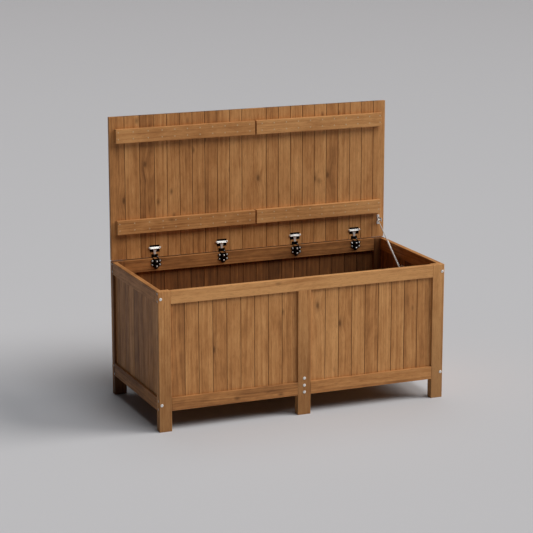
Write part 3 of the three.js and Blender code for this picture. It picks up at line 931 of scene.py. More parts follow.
@dataclass
class FrameTimbers:
    """Posts, middle legs and rails: planed timbers with eased edges, grooved for the boards."""

    mill: Sawmill
    wood: Material
    ease: float = 1.6 * MM
    crisp: float = 0.4 * MM
    foot_stain: float = 0.42
    tones: dict[str, float] = field(default_factory=lambda: {
        "front_top_rail": 0.75, "front_left_post": 0.3, "front_middle_leg": 0.15,
        "front_right_post": 0.75, "front_bottom_rail_left": -0.4,
        "left_top_rail": -0.35, "left_bottom_rail": -0.6,
    })
    # Painted shade: how far the tone is lowered on the inner faces of these timbers.
    inner_shades: dict[str, float] = field(default_factory=lambda: {
        "back_top_rail": 0.6, "back_left_post": 1.2, "back_right_post": 1.7,
    })
    groove_near: float = 8.7 * MM
    groove_far: float = 17.3 * MM
    groove_depth: float = 7.3 * MM
    corner_bolt_inset: float = 9.5 * MM
    side_bolt_heights: tuple[float, ...] = (0.0855, 0.1195, 0.507, 0.5365)
    side_bolt_insets: tuple[float, ...] = (20.5 * MM, 15.5 * MM, 15.5 * MM, 15.5 * MM)
    back_bolt_heights: tuple[float, ...] = (0.106, 0.5185)
    leg_bolt_heights: tuple[float, ...] = (0.091, 0.1185, 0.147)

    def build(self) -> None:
        """Builds all sixteen timbers."""
        for end in End:
            for side in Side:
                self._post(end, side)
            self._upright(end)
            self._rail(f"{end}_top_rail", Axis.X)
            for side in Side:
                self._rail(f"{end}_bottom_rail_{side}", Axis.X)
        for side in Side:
            for level in ("top", "bottom"):
                self._rail(f"{side}_{level}_rail", Axis.Y)

    def _blank(self, node: str) -> tuple[Mesh, Vector, Vector]:
        """Makes a timber of the node's size with its edges eased.

        Args:
            node: the CAD node it stands for.

        Returns:
            The timber, and the node's lowest and highest corners.
        """
        mesh = bmesh.new()
        low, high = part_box(node)
        eased_block(mesh, low, high, self.crisp if node == "back_top_rail" else self.ease, 3)
        return mesh, low, high

    def _finish(self, mesh: Mesh, node: str, along: Axis, across: Axis, knot: Knot | None = None) -> None:
        """Marks the grain, and puts the timber in the frame.

        Args:
            mesh: the finished timber.
            node: the CAD node it stands for.
            along: the way its grain runs.
            across: the way of its width.
            knot: its knot, if it has one.
        """
        tone = self.mill.any_tone(0.15) + self.tones.get(node, 0.0)
        self.mill.cut_timber(mesh, along, across, tone, knot)
        # Painted shade on the inner faces, where the box's own walls shade them.
        if node in self.inner_shades:
            self.mill.shade_inside(mesh, Axis.Y, -1, self.inner_shades[node])
        # Painted shade at the feet: the bottom of each upright is darkened where it stands on the floor,
        # fading upwards.
        if along is Axis.Z:
            seam = mesh.verts.layers.float["seam"]
            for vert in mesh.verts:
                vert[seam] = self.foot_stain if vert.co.z < 10 * MM else 0.0
        fix(mesh, f"{node}_timber", self.wood, Fixing("box", (node,), "frame_wood"))

    def _groove(self, face: float, way: int) -> list[float]:
        """Both sides of the groove that lies behind an outer face, the lower number first."""
        return sorted(face - way * depth for depth in (self.groove_near, self.groove_far))

    def side_bolts(self, end: End, side: Side) -> list[Matrix]:
        """Places the bolts in the outer side of a corner post.

        Args:
            end: front or back.
            side: left or right.

        Returns:
            A frame for each bolt, whose local Z looks out of the timber.
        """
        low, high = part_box(f"{end}_{side}_post")
        x, y = side.outer(low.x, high.x), end.outer(low.y, high.y)
        rows = zip(self.side_bolt_heights, self.side_bolt_insets)
        return [facing(side.value * RIGHTWARD, (x, y - end.value * inset, z)) for z, inset in rows]

    def back_bolts(self, side: Side) -> list[Matrix]:
        """Places the bolts in the back of a corner post.

        Args:
            side: left or right.

        Returns:
            A frame for each bolt, whose local Z looks out of the timber.
        """
        low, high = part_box(f"back_{side}_post")
        x = side.outer(low.x, high.x) - side.value * self.corner_bolt_inset
        return [facing(BACKWARD, (x, high.y, z)) for z in self.back_bolt_heights]

    def leg_bolts(self) -> list[Matrix]:
        """Places the bolts in the back of the middle leg, in frames like the posts'."""
        low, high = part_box("back_middle_leg")
        return [facing(BACKWARD, ((low.x + high.x) / 2, high.y, z)) for z in self.leg_bolt_heights]

    def _counterbore(self, cutter: Mesh, place: Matrix) -> None:
        """Adds the round sinking that a recessed bolt head sits in."""
        deep, wide = Counterbore.sink, Counterbore.mouth
        turned(cutter, ((0, -deep), (wide, -deep), (wide, deep), (0, deep)), place, 24)

    def _post(self, end: End, side: Side) -> None:
        """Builds a corner post with two stopped grooves and the sinkings for its bolts.

        Args:
            end: front or back.
            side: left or right.
        """
        node = f"{end}_{side}_post"
        mesh, low, high = self._blank(node)
        cutter = bmesh.new()
        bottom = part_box("left_bottom_rail")[1].z - self.groove_depth
        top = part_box("left_top_rail")[0].z + self.groove_depth
        face_x, inner_x = side.outer(low.x, high.x), side.outer(high.x, low.x)
        face_y, inner_y = end.outer(low.y, high.y), end.outer(high.y, low.y)
        xs, ys = self._groove(face_x, side.value), self._groove(face_y, end.value)
        into_x = sorted((inner_x + side.value * self.groove_depth, inner_x - side.value * MM))
        into_y = sorted((inner_y + end.value * self.groove_depth, inner_y - end.value * MM))
        block(cutter, (into_x[0], ys[0], bottom), (into_x[1], ys[1], top))
        block(cutter, (xs[0], into_y[0], bottom), (xs[1], into_y[1], top))
        for place in self.side_bolts(end, side) + (self.back_bolts(side) if end is End.BACK else []):
            self._counterbore(cutter, place)
        self._finish(carve(mesh, cutter), node, Axis.Z, Axis.X)

    def _upright(self, end: End) -> None:
        """Builds a middle leg: the front one is grooved, the back one cut down for the boards.

        Args:
            end: front or back.
        """
        node = f"{end}_middle_leg"
        mesh, low, high = self._blank(node)
        cutter = bmesh.new()
        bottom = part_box("left_bottom_rail")[1].z - self.groove_depth
        face = end.outer(low.y, high.y)
        ys = self._groove(face, end.value)
        if end is End.BACK:
            block(cutter, (low.x - MM, low.y - MM, bottom), (high.x + MM, ys[1], high.z + MM))
            for place in self.leg_bolts():
                self._counterbore(cutter, place)
        else:
            for edge, way in ((low.x, 1), (high.x, -1)):
                xs = sorted((edge - way * MM, edge + way * self.groove_depth))
                block(cutter, (xs[0], ys[0], bottom), (xs[1], ys[1], high.z + MM))
        self._finish(carve(mesh, cutter), node, Axis.Z, Axis.X)

    def _rail(self, node: str, along: Axis) -> None:
        """Builds a rail with one groove in the edge that meets the boards.

        Args:
            node: the CAD node it stands for.
            along: the way it runs.
        """
        mesh, low, high = self._blank(node)
        cutter = bmesh.new()
        low_cut, high_cut = low.copy(), high.copy()
        thick = Axis.Y if along is Axis.X else Axis.X
        outside = low[thick.value] if (low + high)[thick.value] < 0 else high[thick.value]
        way = -1 if outside == low[thick.value] else 1
        low_cut[thick.value], high_cut[thick.value] = self._groove(outside, way)
        low_cut[along.value] -= MM
        high_cut[along.value] += MM
        if "top" in node:
            low_cut.z, high_cut.z = low.z - MM, low.z + self.groove_depth
        else:
            low_cut.z, high_cut.z = high.z - self.groove_depth, high.z + MM
        block(cutter, low_cut, high_cut)
        self._finish(carve(mesh, cutter), node, along, Axis.Z)


@dataclass
class WallPanels:
    """The five panels of tongued boards that slide into the frame."""

    mill: Sawmill
    wood: Material
    pitch: float = 57 * MM
    side_pitch: float = 56 * MM
    first_right: float = 64 * MM
    housed: float = 7 * MM
    back_boards: int = 20
    # Painted shade: how far the tone is lowered on the inner faces of these panels.
    inner_shades: dict[str, float] = field(default_factory=lambda: {
        "back_boards": 1.5, "right_boards": 0.9,
    })
    front_left_tones: tuple[float, ...] = (-0.3, 0.1, 0.2, -0.2, 0.1, 0.3, 0.2, 0.1, 0.0)
    front_right_tones: tuple[float, ...] = (0.3, 0.5, 0.1, 0.2, -0.1, 0.4, 0.2, 0.0, 0.0)

    def build(self) -> None:
        """Builds the panels."""
        shape = BoardShape(thick=8 * MM)
        for side in Side:
            tones = self.front_left_tones if side is Side.LEFT else self.front_right_tones
            first = self.pitch if side is Side.LEFT else self.first_right
            node = f"front_{side}_boards"
            self._long_panel(shape, node, first, tones, self._knots(side))
            self._side(shape, side)
        back_tones = tuple(self.mill.any_tone(0.4) for _ in range(self.back_boards))
        self._long_panel(shape, "back_boards", self.pitch, back_tones)

    def _finish(
        self, surface: BoardedSurface, node: str, tones: tuple[float, ...],
        knots: dict[int, Knot] | None = None,
    ) -> None:
        """Builds the boards, marks their grain and puts the panel in the frame.

        Args:
            surface: the boards.
            node: the CAD node they stand for.
            tones: one tone for each board.
            knots: the boards that have a knot, by number.
        """
        mesh = surface.build()
        surface.dress(mesh, self.mill, tones, knots)
        # Painted shade on the inner faces of the panel.
        if node in self.inner_shades:
            self.mill.shade_inside(mesh, surface.depth, -1, self.inner_shades[node])
        fix(mesh, f"{node}_panel", self.wood, Fixing("box", (node,), "panel_wood"))

    def _long_panel(
        self, shape: BoardShape, node: str, first: float, tones: tuple[float, ...],
        knots: dict[int, Knot] | None = None,
    ) -> None:
        """Builds a panel of the front or the back.

        Args:
            shape: the boards' cross-section.
            node: the CAD node it stands for.
            first: width of the first board that shows.
            tones: one tone for each board.
            knots: the boards that have a knot, by number.
        """
        low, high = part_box(node)
        joints = self._joints(low.x + self.housed, high.x - self.housed, first, self.pitch)
        surface = BoardedSurface(shape, Axis.X, low.x, high.x, joints, low.y, low.z, high.z)
        self._finish(surface, node, tones, knots)

    def _side(self, shape: BoardShape, side: Side) -> None:
        """Builds the panel of the left or the right wall.

        Args:
            shape: the boards' cross-section.
            side: which wall.
        """
        node = f"{side}_boards"
        low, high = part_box(node)
        joints = self._joints(low.y + self.housed, high.y - self.housed, self.pitch, self.side_pitch)
        # Painted shade: the left wall's boards get a lower tone because that wall faces away from the light.
        shade = 0.3 if side is Side.LEFT else 0.0
        tones = tuple(self.mill.any_tone() - shade for _ in range(len(joints) + 1))
        surface = BoardedSurface(shape, Axis.Y, low.y, high.y, joints, low.x, low.z, high.z)
        self._finish(surface, node, tones)

    @staticmethod
    def _joints(start: float, end: float, first: float, pitch: float) -> list[float]:
        """Finds where the boards meet.

        Args:
            start: where the boards start to show.
            end: where they stop.
            first: width of the first one.
            pitch: width of the others.

        Returns:
            The places of the joints.
        """
        joints, at = [], start + first
        while at < end - pitch / 2:
            joints.append(at)
            at += pitch
        return joints

    @staticmethod
    def _knots(side: Side) -> dict[int, Knot]:
        """The knots of the front panels, by board."""
        if side is Side.LEFT:
            return {3: Knot(0.3, -0.375)}
        return {0: Knot(0.43, 0.055), 2: Knot(0.35, 0.15)}


@dataclass
class Floor:
    """The floor boards, and the bearer and ledgers that carry them."""

    mill: Sawmill
    wood: Material
    ease: float = 1 * MM

    def build(self) -> None:
        """Builds the floor and its supports."""
        for node, along, across in (
            ("floor_bearer", Axis.Y, Axis.X),
            ("floor_ledger_left", Axis.Y, Axis.Z),
            ("floor_ledger_right", Axis.Y, Axis.Z),
        ):
            mesh = bmesh.new()
            eased_block(mesh, *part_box(node), self.ease)
            self.mill.cut_timber(mesh, along, across, self.mill.any_tone())
            fix(mesh, f"{node}_timber", self.wood, Fixing("box", (node,), "inner_wood"))
        mesh = bmesh.new()
        nodes = tuple(f"floor_board_{i + 1}" for i in range(5))
        for node in nodes:
            eased_block(mesh, *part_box(node), self.ease)
        self.mill.prepare(mesh)
        for board in sorted(islands(mesh), key=lambda group: min(v.co.y for v in group)):
            self.mill.cut(mesh, board, Axis.X, Axis.Y, self.mill.any_tone())
        fix(mesh, "floor_boards", self.wood, Fixing("box", nodes, "inner_wood"))


# ---- lid ----


@dataclass
class Lid:
    """Two fields of boards and four battens that are screwed to every board."""

    mill: Sawmill
    wood: Material
    steel: Material
    wide: float = 62 * MM
    narrow: float = 53.4 * MM
    per_half: int = 11
    wide_count: int = 3
    hinge_places: tuple[float, ...] = (-0.418, -0.13, 0.194, 0.464)
    cup_centre: float = 584 * MM
    cup_radius: float = 13.3 * MM
    cup_depth: float = 11.3 * MM
    notch_half: float = 14.6 * MM
    notch_top: float = 562.8 * MM
    notch_back: float = 278.8 * MM
    left_tones: tuple[float, ...] = (-0.1, 0.3, -0.3, 0.3, 0.2, 0.1, 0.0, -0.2, 0.1, 0.5, 0.2)
    right_tones: tuple[float, ...] = (0.3, 0.1, 0.4, 0.4, 0.2, 0.5, 0.0, 0.4, 0.5, 0.3, 0.3)

    def build(self) -> None:
        """Builds the boards, the battens and their screws."""
        for side in Side:
            self._boards(side)
            for row in ("lower", "upper"):
                self._batten(row, side)

    def _stop(self, index: int) -> float:
        """Finds the joint before a board.

        Args:
            index: the board's number from the lid's left edge.

        Returns:
            The joint's place along X.
        """
        wide = min(index, self.wide_count) * self.wide
        narrow = max(index - self.wide_count, 0) * self.narrow
        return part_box("lid_boards_left")[0].x + wide + narrow

    def _boards(self, side: Side) -> None:
        """Builds half of the boards, with the cups' pockets and the notches below them.

        Args:
            side: which half.
        """
        node = f"lid_boards_{side}"
        low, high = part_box(node)
        first = 1 if side is Side.LEFT else self.per_half + 1
        joints = [self._stop(first + i) for i in range(self.per_half - 1)]
        shape = BoardShape(thick=high.y - low.y, tongue=4 * MM)
        surface = BoardedSurface(shape, Axis.X, low.x, high.x, joints, low.y, low.z, high.z, 0.3 * MM)
        cutter = bmesh.new()
        for x in (p for p in self.hinge_places if low.x < p < high.x):
            deep, wide = self.cup_depth, self.cup_radius
            pocket = ((0, -deep), (wide, -deep), (wide, MM), (0, MM))
            turned(cutter, pocket, facing(FORWARD, (x, low.y, self.cup_centre)), 48)
            notch_low = (x - self.notch_half, low.y - MM, low.z - MM)
            block(cutter, notch_low, (x + self.notch_half, self.notch_back, self.notch_top))
        mesh = carve(surface.build(), cutter)
        tones = self.left_tones if side is Side.LEFT else self.right_tones
        surface.dress(mesh, self.mill, tones, self._knots(side))
        fix(mesh, f"{node}_field", self.wood, Fixing("lid", (node,), "lid_wood"))

    @staticmethod
    def _knots(side: Side) -> dict[int, Knot]:
        """The knots of the lid's inner face, by board."""
        if side is Side.LEFT:
            return {0: Knot(0.79, -0.545), 2: Knot(0.93, -0.455), 4: Knot(0.82, -0.29)}
        return {0: Knot(0.84, 0.03), 5: Knot(0.82, 0.28), 6: Knot(0.83, 0.34)}

    def _batten(self, row: str, side: Side) -> None:
        """Builds one length of batten, and a pair of screws through it for each board.

        Args:
            row: lower or upper.
            side: which half of the lid.
        """
        node = f"{row}_batten_{side}"
        low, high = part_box(node)
        mesh = bmesh.new()
        eased_block(mesh, low, high, 1.5 * MM, 3)
        tone = self.mill.any_tone(0.1) + (0.5 if side is Side.RIGHT else 0.1)
        self.mill.cut_timber(mesh, Axis.X, Axis.Z, tone)
        fix(mesh, f"{node}_timber", self.wood, Fixing("lid", (node,), "lid_wood"))
        screws = bmesh.new()
        first = 0 if side is Side.LEFT else self.per_half
        for index in range(first, first + self.per_half):
            middle = (self._stop(index) + self._stop(index + 1)) / 2
            middle = min(max(middle, low.x + 9 * MM), high.x - 9 * MM)
            for height in (17 * MM, 44 * MM):
                spot = Vector((middle, low.y, low.z + height))
                turned(screws, Screw.flush, facing(FORWARD, spot), 12)
        fix(screws, f"{node}_screws", self.steel, Fixing("lid", (), "zinc"))


# ---- fixings ----


@dataclass(frozen=True)
class Screw:
    """Outlines of half a small screw: crowned on a bracket, flush in a batten, low on a plate."""

    crowned: Profile = in_mm((0, -0.5), (1.3, -0.5), (1.5, 0.3), (2.8, 0.28), (3.3, 0), (0, 0))
    flush: Profile = in_mm(
        (0, -0.8), (0.9, -0.8), (1.1, 0.1), (2.5, 0.06), (2.6, -0.2), (1.6, -1.6), (0, -1.6)
    )
    low: Profile = in_mm((0, -0.1), (0.9, -0.1), (1.1, 0.8), (2.4, 0.6), (3.1, 0), (2.6, -0.5), (0, -0.5))


@dataclass(frozen=True)
class Counterbore:
    """The round sinking that holds a bolt's head level with the timber's face."""

    sink: float = 3.2 * MM
    mouth: float = 6.6 * MM


@dataclass
class Bolts:
    """Domed furniture bolts: proud on the front, and sunk on the sides and the back."""

    timbers: FrameTimbers
    steel: Material
    radius: float = 6 * MM
    height: float = 2.2 * MM
    socket: float = 2.1 * MM
    shank: float = 2.8 * MM

    def profile(self, drop: float, length: float) -> Profile:
        """The outline of half a bolt.

        Args:
            drop: how far the head's underside lies below the timber's face.
            length: from the head's underside to the bolt's foot.

        Returns:
            Radius and height of each corner, from the axis round to the axis.
        """
        crown = [
            (self.radius * math.cos(a), 0.7 * MM + (self.height - 0.7 * MM) * math.sin(a))
            for a in (math.radians(d) for d in (62, 45, 28, 12))
        ]
        points = [
            (0, 0.8 * MM), (self.socket * 0.9, 0.8 * MM), (self.socket, self.height - 0.12 * MM),
            *crown, (self.radius, 0.5 * MM), (self.radius, 0), (self.shank, 0),
            (self.shank, -length), (0, -length),
        ]
        return tuple((r, h - drop) for r, h in points)

    def build(self) -> None:
        """Builds the seven proud bolts and the sunk ones."""
        proud = [f"leg_bolt_{number}" for number in (1, 2, 3)]
        proud += [f"corner_bolt_{side}_{level}" for side in Side for level in ("lower", "upper")]
        for node in proud:
            low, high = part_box(node)
            mesh = bmesh.new()
            spot = Vector(((low.x + high.x) / 2, low.y + self.height, (low.z + high.z) / 2))
            length = high.y - low.y - self.height
            turned(mesh, self.profile(0, length), facing(FORWARD, spot), 24)
            fix(mesh, f"{node}_steel", self.steel, Fixing("box", (node,), "zinc"))
        for side in Side:
            self._sunk(f"side_bolts_{side}", [m for end in End for m in self.timbers.side_bolts(end, side)])
        back = [place for side in Side for place in self.timbers.back_bolts(side)]
        self._sunk("back_bolts", back + self.timbers.leg_bolts())

    def _sunk(self, name: str, places: list[Matrix]) -> None:
        """Builds one piece of sunk bolts.

        Args:
            name: the piece's name.
            places: where the bolts' heads lie.
        """
        mesh = bmesh.new()
        for place in places:
            turned(mesh, self.profile(Counterbore.sink - 0.1 * MM, 12 * MM), place, 20)
        fix(mesh, name, self.steel, Fixing("box", (), "zinc"))


@dataclass
class Hinge:
    """One cup hinge: a cup in the lid with a bar and a strap, and a plate on the back rail."""

    number: int
    x: float
    finishes: Finishes
    lid_face: float = 266.5 * MM
    rail_face: float = 251.5 * MM
    cup_centre: float = 584 * MM
    bar_centre: float = 588.5 * MM
    pin_y: float = 274.3 * MM
    pin_z: float = 557.8 * MM
    rail_top: float = 547 * MM

    def build(self) -> None:
        """Builds the hinge's five pieces."""
        self._cup()
        self._bar_and_strap()
        self._plate()
        self._plate_screws()
        self._pin()

    def _finish(self, mesh: Mesh, name: str, material: Material, fixing: Fixing) -> None:
        """Puts one piece of the hinge in the frame."""
        fix(mesh, f"hinge_{self.number}_{name}", material, fixing)

    def _cup(self) -> None:
        """The black parts of the lid's half: the cup, its flange, and the knuckle with its web."""
        mesh = bmesh.new()
        shell = in_mm(
            (0, -10.9), (12.2, -10.9), (12.9, -10), (13, -0.2), (12.8, 0),
            (11.9, 0), (11.5, -0.5), (11.4, -8.8), (10.6, -9.6), (0, -9.6),
        )
        x, face = self.x, self.lid_face
        outwards = facing(FORWARD, (x, face, self.cup_centre))
        turned(mesh, shell, outwards, 40)
        flange, mouth = bmesh.new(), bmesh.new()
        eased_block(flange, (x - 20.8 * MM, face - 0.9 * MM, 571.2 * MM),
                    (x + 20.8 * MM, face, 599.8 * MM), 0.4 * MM)
        turned(mouth, in_mm((0, -2), (11.5, -2), (11.5, 2), (0, 2)), outwards, 40)
        plate = bpy.data.meshes.new("flange")
        carve(flange, mouth).to_mesh(plate)
        mesh.from_mesh(plate)
        eased_block(mesh, (x - 6.8 * MM, face - 1.1 * MM, self.pin_z),
                    (x + 6.8 * MM, self.pin_y - 3 * MM, self.pin_z + 3.3 * MM), 0.5 * MM)
        knuckle = in_mm(
            (1.75, -6.8), (3.4, -6.8), (3.6, -6.5), (3.6, 6.5), (3.4, 6.8), (1.75, 6.8), (1.75, -6.8)
        )
        turned(mesh, knuckle, facing(RIGHTWARD, (x, self.pin_y, self.pin_z)), 24)
        self._finish(mesh, "cup_shell", self.finishes.black,
                     Fixing("lid", (f"hinge_{self.number}_cup",), "dark_steel"))

    def _bar_and_strap(self) -> None:
        """The bright bar across the cup with a screw at each end, and the tapered strap below it."""
        mesh = bmesh.new()
        x, face, z = self.x, self.lid_face, self.bar_centre
        slope = in_mm((0.3, -4), (4.5, -4), (4.9, -3.5), (0.9, 3.7), (0.3, 4))
        corners = [Vector((x - 21.5 * MM, face - out, z + up)) for out, up in slope]
        prism(mesh, corners, Vector((43 * MM, 0, 0)))
        for way in (-1, 1):
            place = facing(FORWARD, (x + way * 22 * MM, face, z))
            turned(mesh, in_mm((0, 0.9), (4.4, 0.9), (4.4, 2.4), (4.0, 2.8), (0, 2.8)), place, 24)
            head = ((0, 3.9), (1.0, 3.9), (1.3, 4.9), (2.6, 4.7), (3.9, 3.9), (4.1, 2.8), (0, 2.8))
            turned(mesh, in_mm(*head), place, 20)
        taper = ((6.8, z - 3.6 * MM), (6.6, z - 8 * MM), (5.0, z - 16 * MM), (4.8, self.pin_z + 3.6 * MM))
        edge = [Vector((x + half * MM, face - 1.8 * MM, up)) for half, up in taper]
        edge += [Vector((x - half * MM, face - 1.8 * MM, up)) for half, up in reversed(taper)]
        verts = prism(mesh, edge, Vector((0, 1.7 * MM, 0)))
        ease(mesh, [e for e in sharp_edges(verts) if all(v.co.y < face - MM for v in e.verts)], 0.5 * MM)
        self._finish(mesh, "bar_and_strap", self.finishes.chrome,
                     Fixing("lid", (f"hinge_{self.number}_cup",), "chrome"))

    def _plate(self) -> None:
        """The dark winged plate on the back rail, its arm cover and the two outer knuckles."""
        mesh = bmesh.new()
        x, face = self.x, self.rail_face
        wing = in_mm(
            (0, 542.5), (11, 542.5), (17, 544), (21.5, 542), (23, 537.5), (21, 533.5), (17.5, 531),
            (17.5, 529), (21, 526), (22.6, 521.5), (20, 517.5), (15.5, 516), (11.5, 513.5), (8, 509),
            (5, 506), (0, 504.5),
        )
        outline = wing + tuple((-across, up) for across, up in reversed(wing[1:-1]))
        corners = [Vector((x + across, face - 2.4 * MM, min(up, 542.5 * MM))) for across, up in outline]
        verts = prism(mesh, corners, Vector((0, 2.4 * MM, 0)))
        front = [e for e in sharp_edges(verts) if all(abs(v.co.y - face + 2.4 * MM) < 1e-7 for v in e.verts)]
        ease(mesh, front, 0.6 * MM, 2)
        eased_block(mesh, (x - 7.5 * MM, face - 10.3 * MM, 512 * MM),
                    (x + 7.5 * MM, face - 2.4 * MM, 541.5 * MM), 2.6 * MM, 3)
        eased_block(mesh, (x - 7.4 * MM, face - 1.1 * MM, 540.5 * MM),
                    (x + 7.4 * MM, face, 546.6 * MM), 0.4 * MM)
        eased_block(mesh, (x - 9 * MM, self.pin_y + 0.8 * MM, self.rail_top),
                    (x + 9 * MM, self.pin_y + 2.5 * MM, self.rail_top + 6.3 * MM), 0.3 * MM)
        for way in (-1, 1):
            inner, outer = sorted((x + way * 7.6 * MM, x + way * 12.9 * MM))
            eased_block(mesh, (inner, face - 1.1 * MM, 540.5 * MM), (outer, face, 548 * MM), 0.4 * MM)
            eased_block(mesh, (inner, face - 1.1 * MM, self.rail_top),
                        (outer, self.pin_y, self.rail_top + 1.1 * MM), 0.4 * MM)
            eased_block(mesh, (inner, self.pin_y - 3.5 * MM, self.rail_top),
                        (outer, self.pin_y + 2.6 * MM, self.pin_z), 0.4 * MM)
            ring = in_mm((1.75, 0), (3.6, 0), (3.6, 5.3), (1.75, 5.3), (1.75, 0))
            turned(mesh, ring, facing(RIGHTWARD, (inner, self.pin_y, self.pin_z)), 24)
        self._finish(mesh, "plate_steel", self.finishes.black,
                     Fixing("box", (f"hinge_{self.number}_plate",), "dark_steel"))

    def _plate_screws(self) -> None:
        """Four screws in the wings and two on the arm cover."""
        mesh = bmesh.new()
        places = [(way * wide, up, 2.4) for wide, up in ((16.3, 537.6), (15.8, 521.6)) for way in (-1, 1)]
        for across, up, proud in places + [(0, 537, 10.3), (0, 517, 10.3)]:
            spot = (self.x + across * MM, self.rail_face - proud * MM, up * MM)
            turned(mesh, Screw.low, facing(FORWARD, spot), 16)
        self._finish(mesh, "plate_screws", self.finishes.zinc, Fixing("box", (), "zinc"))

    def _pin(self) -> None:
        """The pin that the lid turns on, with a head at each end."""
        mesh = bmesh.new()
        profile = in_mm(
            (0, -14.2), (2.2, -14.2), (2.6, -13.9), (2.6, -13.3), (1.6, -13.3),
            (1.6, 13.3), (2.6, 13.3), (2.6, 13.9), (2.2, 14.2), (0, 14.2),
        )
        turned(mesh, profile, facing(RIGHTWARD, (self.x, self.pin_y, self.pin_z)), 20)
        self._finish(mesh, "pin_steel", self.finishes.chrome,
                     Fixing("box", (f"hinge_{self.number}_pin",), "chrome"))


@dataclass
class GasStay:
    """The stay on the right: a tube that swings on the wall and a rod that slides in it."""

    finishes: Finishes
    x: float = 565.5 * MM
    wall_ball: tuple[float, float] = (42.5 * MM, 465 * MM)
    lid_ball: tuple[float, float] = (248.5 * MM, 627 * MM)
    rod_shown: float = 116 * MM
    tube_radius: float = 4.2 * MM
    rod_radius: float = 1.9 * MM

    def __post_init__(self) -> None:
        """Works out the stay's own frame: local Z runs from the wall ball to the lid ball."""
        low = Vector((self.x, *self.wall_ball))
        high = Vector((self.x, *self.lid_ball))
        self.length = (high - low).length
        self.place = facing(high - low, low)
        self.mouth = self.length - self.rod_shown

    def build(self) -> None:
        """Builds the tube, the rod and both brackets."""
        self._tube()
        self._rod()
        self._wall_bracket()
        self._lid_bracket()

    def _eye(self, mesh: Mesh, at: tuple[float, float], bore: float) -> None:
        """Adds the flat ring at an end of the stay that holds a ball.

        Args:
            mesh: the tube or the rod.
            at: the ball's centre, as Y and Z.
            bore: radius of the hole, in millimetres.
        """
        ring = in_mm((bore, -2.5), (4.5, -2.5), (5, -2), (5, 2), (4.5, 2.5), (bore, 2.5), (bore, -2.5))
        turned(mesh, ring, facing(RIGHTWARD, (self.x, *at)), 28)

    def _tube(self) -> None:
        """The cylinder of the stay: a bright tube, crimped where the rod comes out."""
        mesh = bmesh.new()
        r, mouth = self.tube_radius, self.mouth
        profile = [
            (0, 4.6 * MM), (2.4 * MM, 4.6 * MM), (3.6 * MM, 7 * MM), (r, 9 * MM), (r, mouth - 7 * MM),
            (r - 0.5 * MM, mouth - 6.2 * MM), (r - 0.5 * MM, mouth - 5.2 * MM), (r, mouth - 4.4 * MM),
            (r, mouth - 1.2 * MM), (r - 1.2 * MM, mouth), (2.25 * MM, mouth), (2.25 * MM, mouth - 7 * MM),
            (3.3 * MM, mouth - 7 * MM), (3.3 * MM, 12 * MM), (0, 12 * MM),
        ]
        turned(mesh, profile, self.place, 28)
        self._eye(mesh, self.wall_ball, 3.7)
        fix(mesh, "stay_tube_steel", self.finishes.zinc, Fixing("stay_tube", ("stay_tube",), "zinc"))

    def _rod(self) -> None:
        """The polished rod with its piston, a collar and the eye at the lid."""
        mesh = bmesh.new()
        r, foot, top = self.rod_radius, self.mouth - 30 * MM, self.length - 4.4 * MM
        profile = [
            (0, foot), (2.9 * MM, foot), (2.9 * MM, foot + 6 * MM), (r, foot + 6 * MM),
            (r, top - 9 * MM), (2.7 * MM, top - 8.4 * MM), (2.7 * MM, top - 1 * MM),
            (2.2 * MM, top), (0, top),
        ]
        turned(mesh, profile, self.place, 24)
        self._eye(mesh, self.lid_ball, 2.4)
        fix(mesh, "stay_rod_steel", self.finishes.chrome, Fixing("stay_rod", ("stay_rod",), "chrome"))

    def _wall_bracket(self) -> None:
        """The plate on the right wall with its stud and ball."""
        mesh = bmesh.new()
        low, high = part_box("stay_wall_bracket")
        y, z = self.wall_ball
        eased_block(mesh, (high.x - 2 * MM, low.y, low.z), high, 0.8 * MM)
        reach = high.x - 2 * MM - self.x
        ball = in_mm((0, -3.4), (1.7, -2.95), (2.9, -1.7), (3.4, 0), (2.9, 1.7), (2.2, 2.6))
        stud = ball + ((2.2 * MM, reach), (0, reach))
        turned(mesh, stud, facing(RIGHTWARD, (self.x, y, z)), 20)
        for way in (-1, 1):
            spot = Vector((high.x - 2 * MM, y + way * 14 * MM, z))
            turned(mesh, Screw.crowned, facing(-RIGHTWARD, spot), 12)
        fix(mesh, "stay_wall_bracket_steel", self.finishes.zinc,
            Fixing("box", ("stay_wall_bracket",), "zinc"))

    def _lid_bracket(self) -> None:
        """The bright plate on the lid, its ear and the stud that the rod's eye turns on."""
        mesh = bmesh.new()
        low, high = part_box("stay_lid_bracket")
        inner = high.x - 11 * MM
        y, z = self.lid_ball
        eased_block(mesh, (inner, high.y - 2 * MM, low.z), high, 0.8 * MM)
        eased_block(mesh, (high.x - 2 * MM, y - 7 * MM, z - 8 * MM),
                    (high.x, high.y - 0.5 * MM, z + 8 * MM), 0.7 * MM)
        reach = high.x - 1 * MM - self.x
        stud = in_mm((0, 3.3), (2.9, 3.3), (3.4, 3.8)) + ((3.4 * MM, reach), (0, reach))
        turned(mesh, stud, facing(RIGHTWARD, (self.x, y, z)), 20)
        for height in (low.z + 5 * MM, high.z - 5 * MM):
            spot = Vector((inner + 4.6 * MM, high.y - 2 * MM, height))
            turned(mesh, Screw.crowned, facing(FORWARD, spot), 12)
        fix(mesh, "stay_lid_bracket_steel", self.finishes.zinc,
            Fixing("lid", ("stay_lid_bracket",), "zinc"))


# ---- studio ----


def stand(made: Object, azimuth: float, elevation: float, distance: float, target: Point) -> None:
    """Stands a camera or a light off from a point, looking at it, and puts it in the scene.

    Args:
        made: the camera or the light.
        azimuth: its angle from the front, in degrees, towards the right.
        elevation: its angle above the floor, in degrees.
        distance: how far off it stands.
        target: the point it looks at.
    """
    a, e = math.radians(azimuth), math.radians(elevation)
    back = Vector((math.sin(a) * math.cos(e), -math.cos(a) * math.cos(e), math.sin(e)))
    made.location = Vector(target) + back * distance
    made.rotation_mode = "QUATERNION"
    made.rotation_quaternion = (-back).to_track_quat("-Z", "Y")
    bpy.context.scene.collection.objects.link(made)


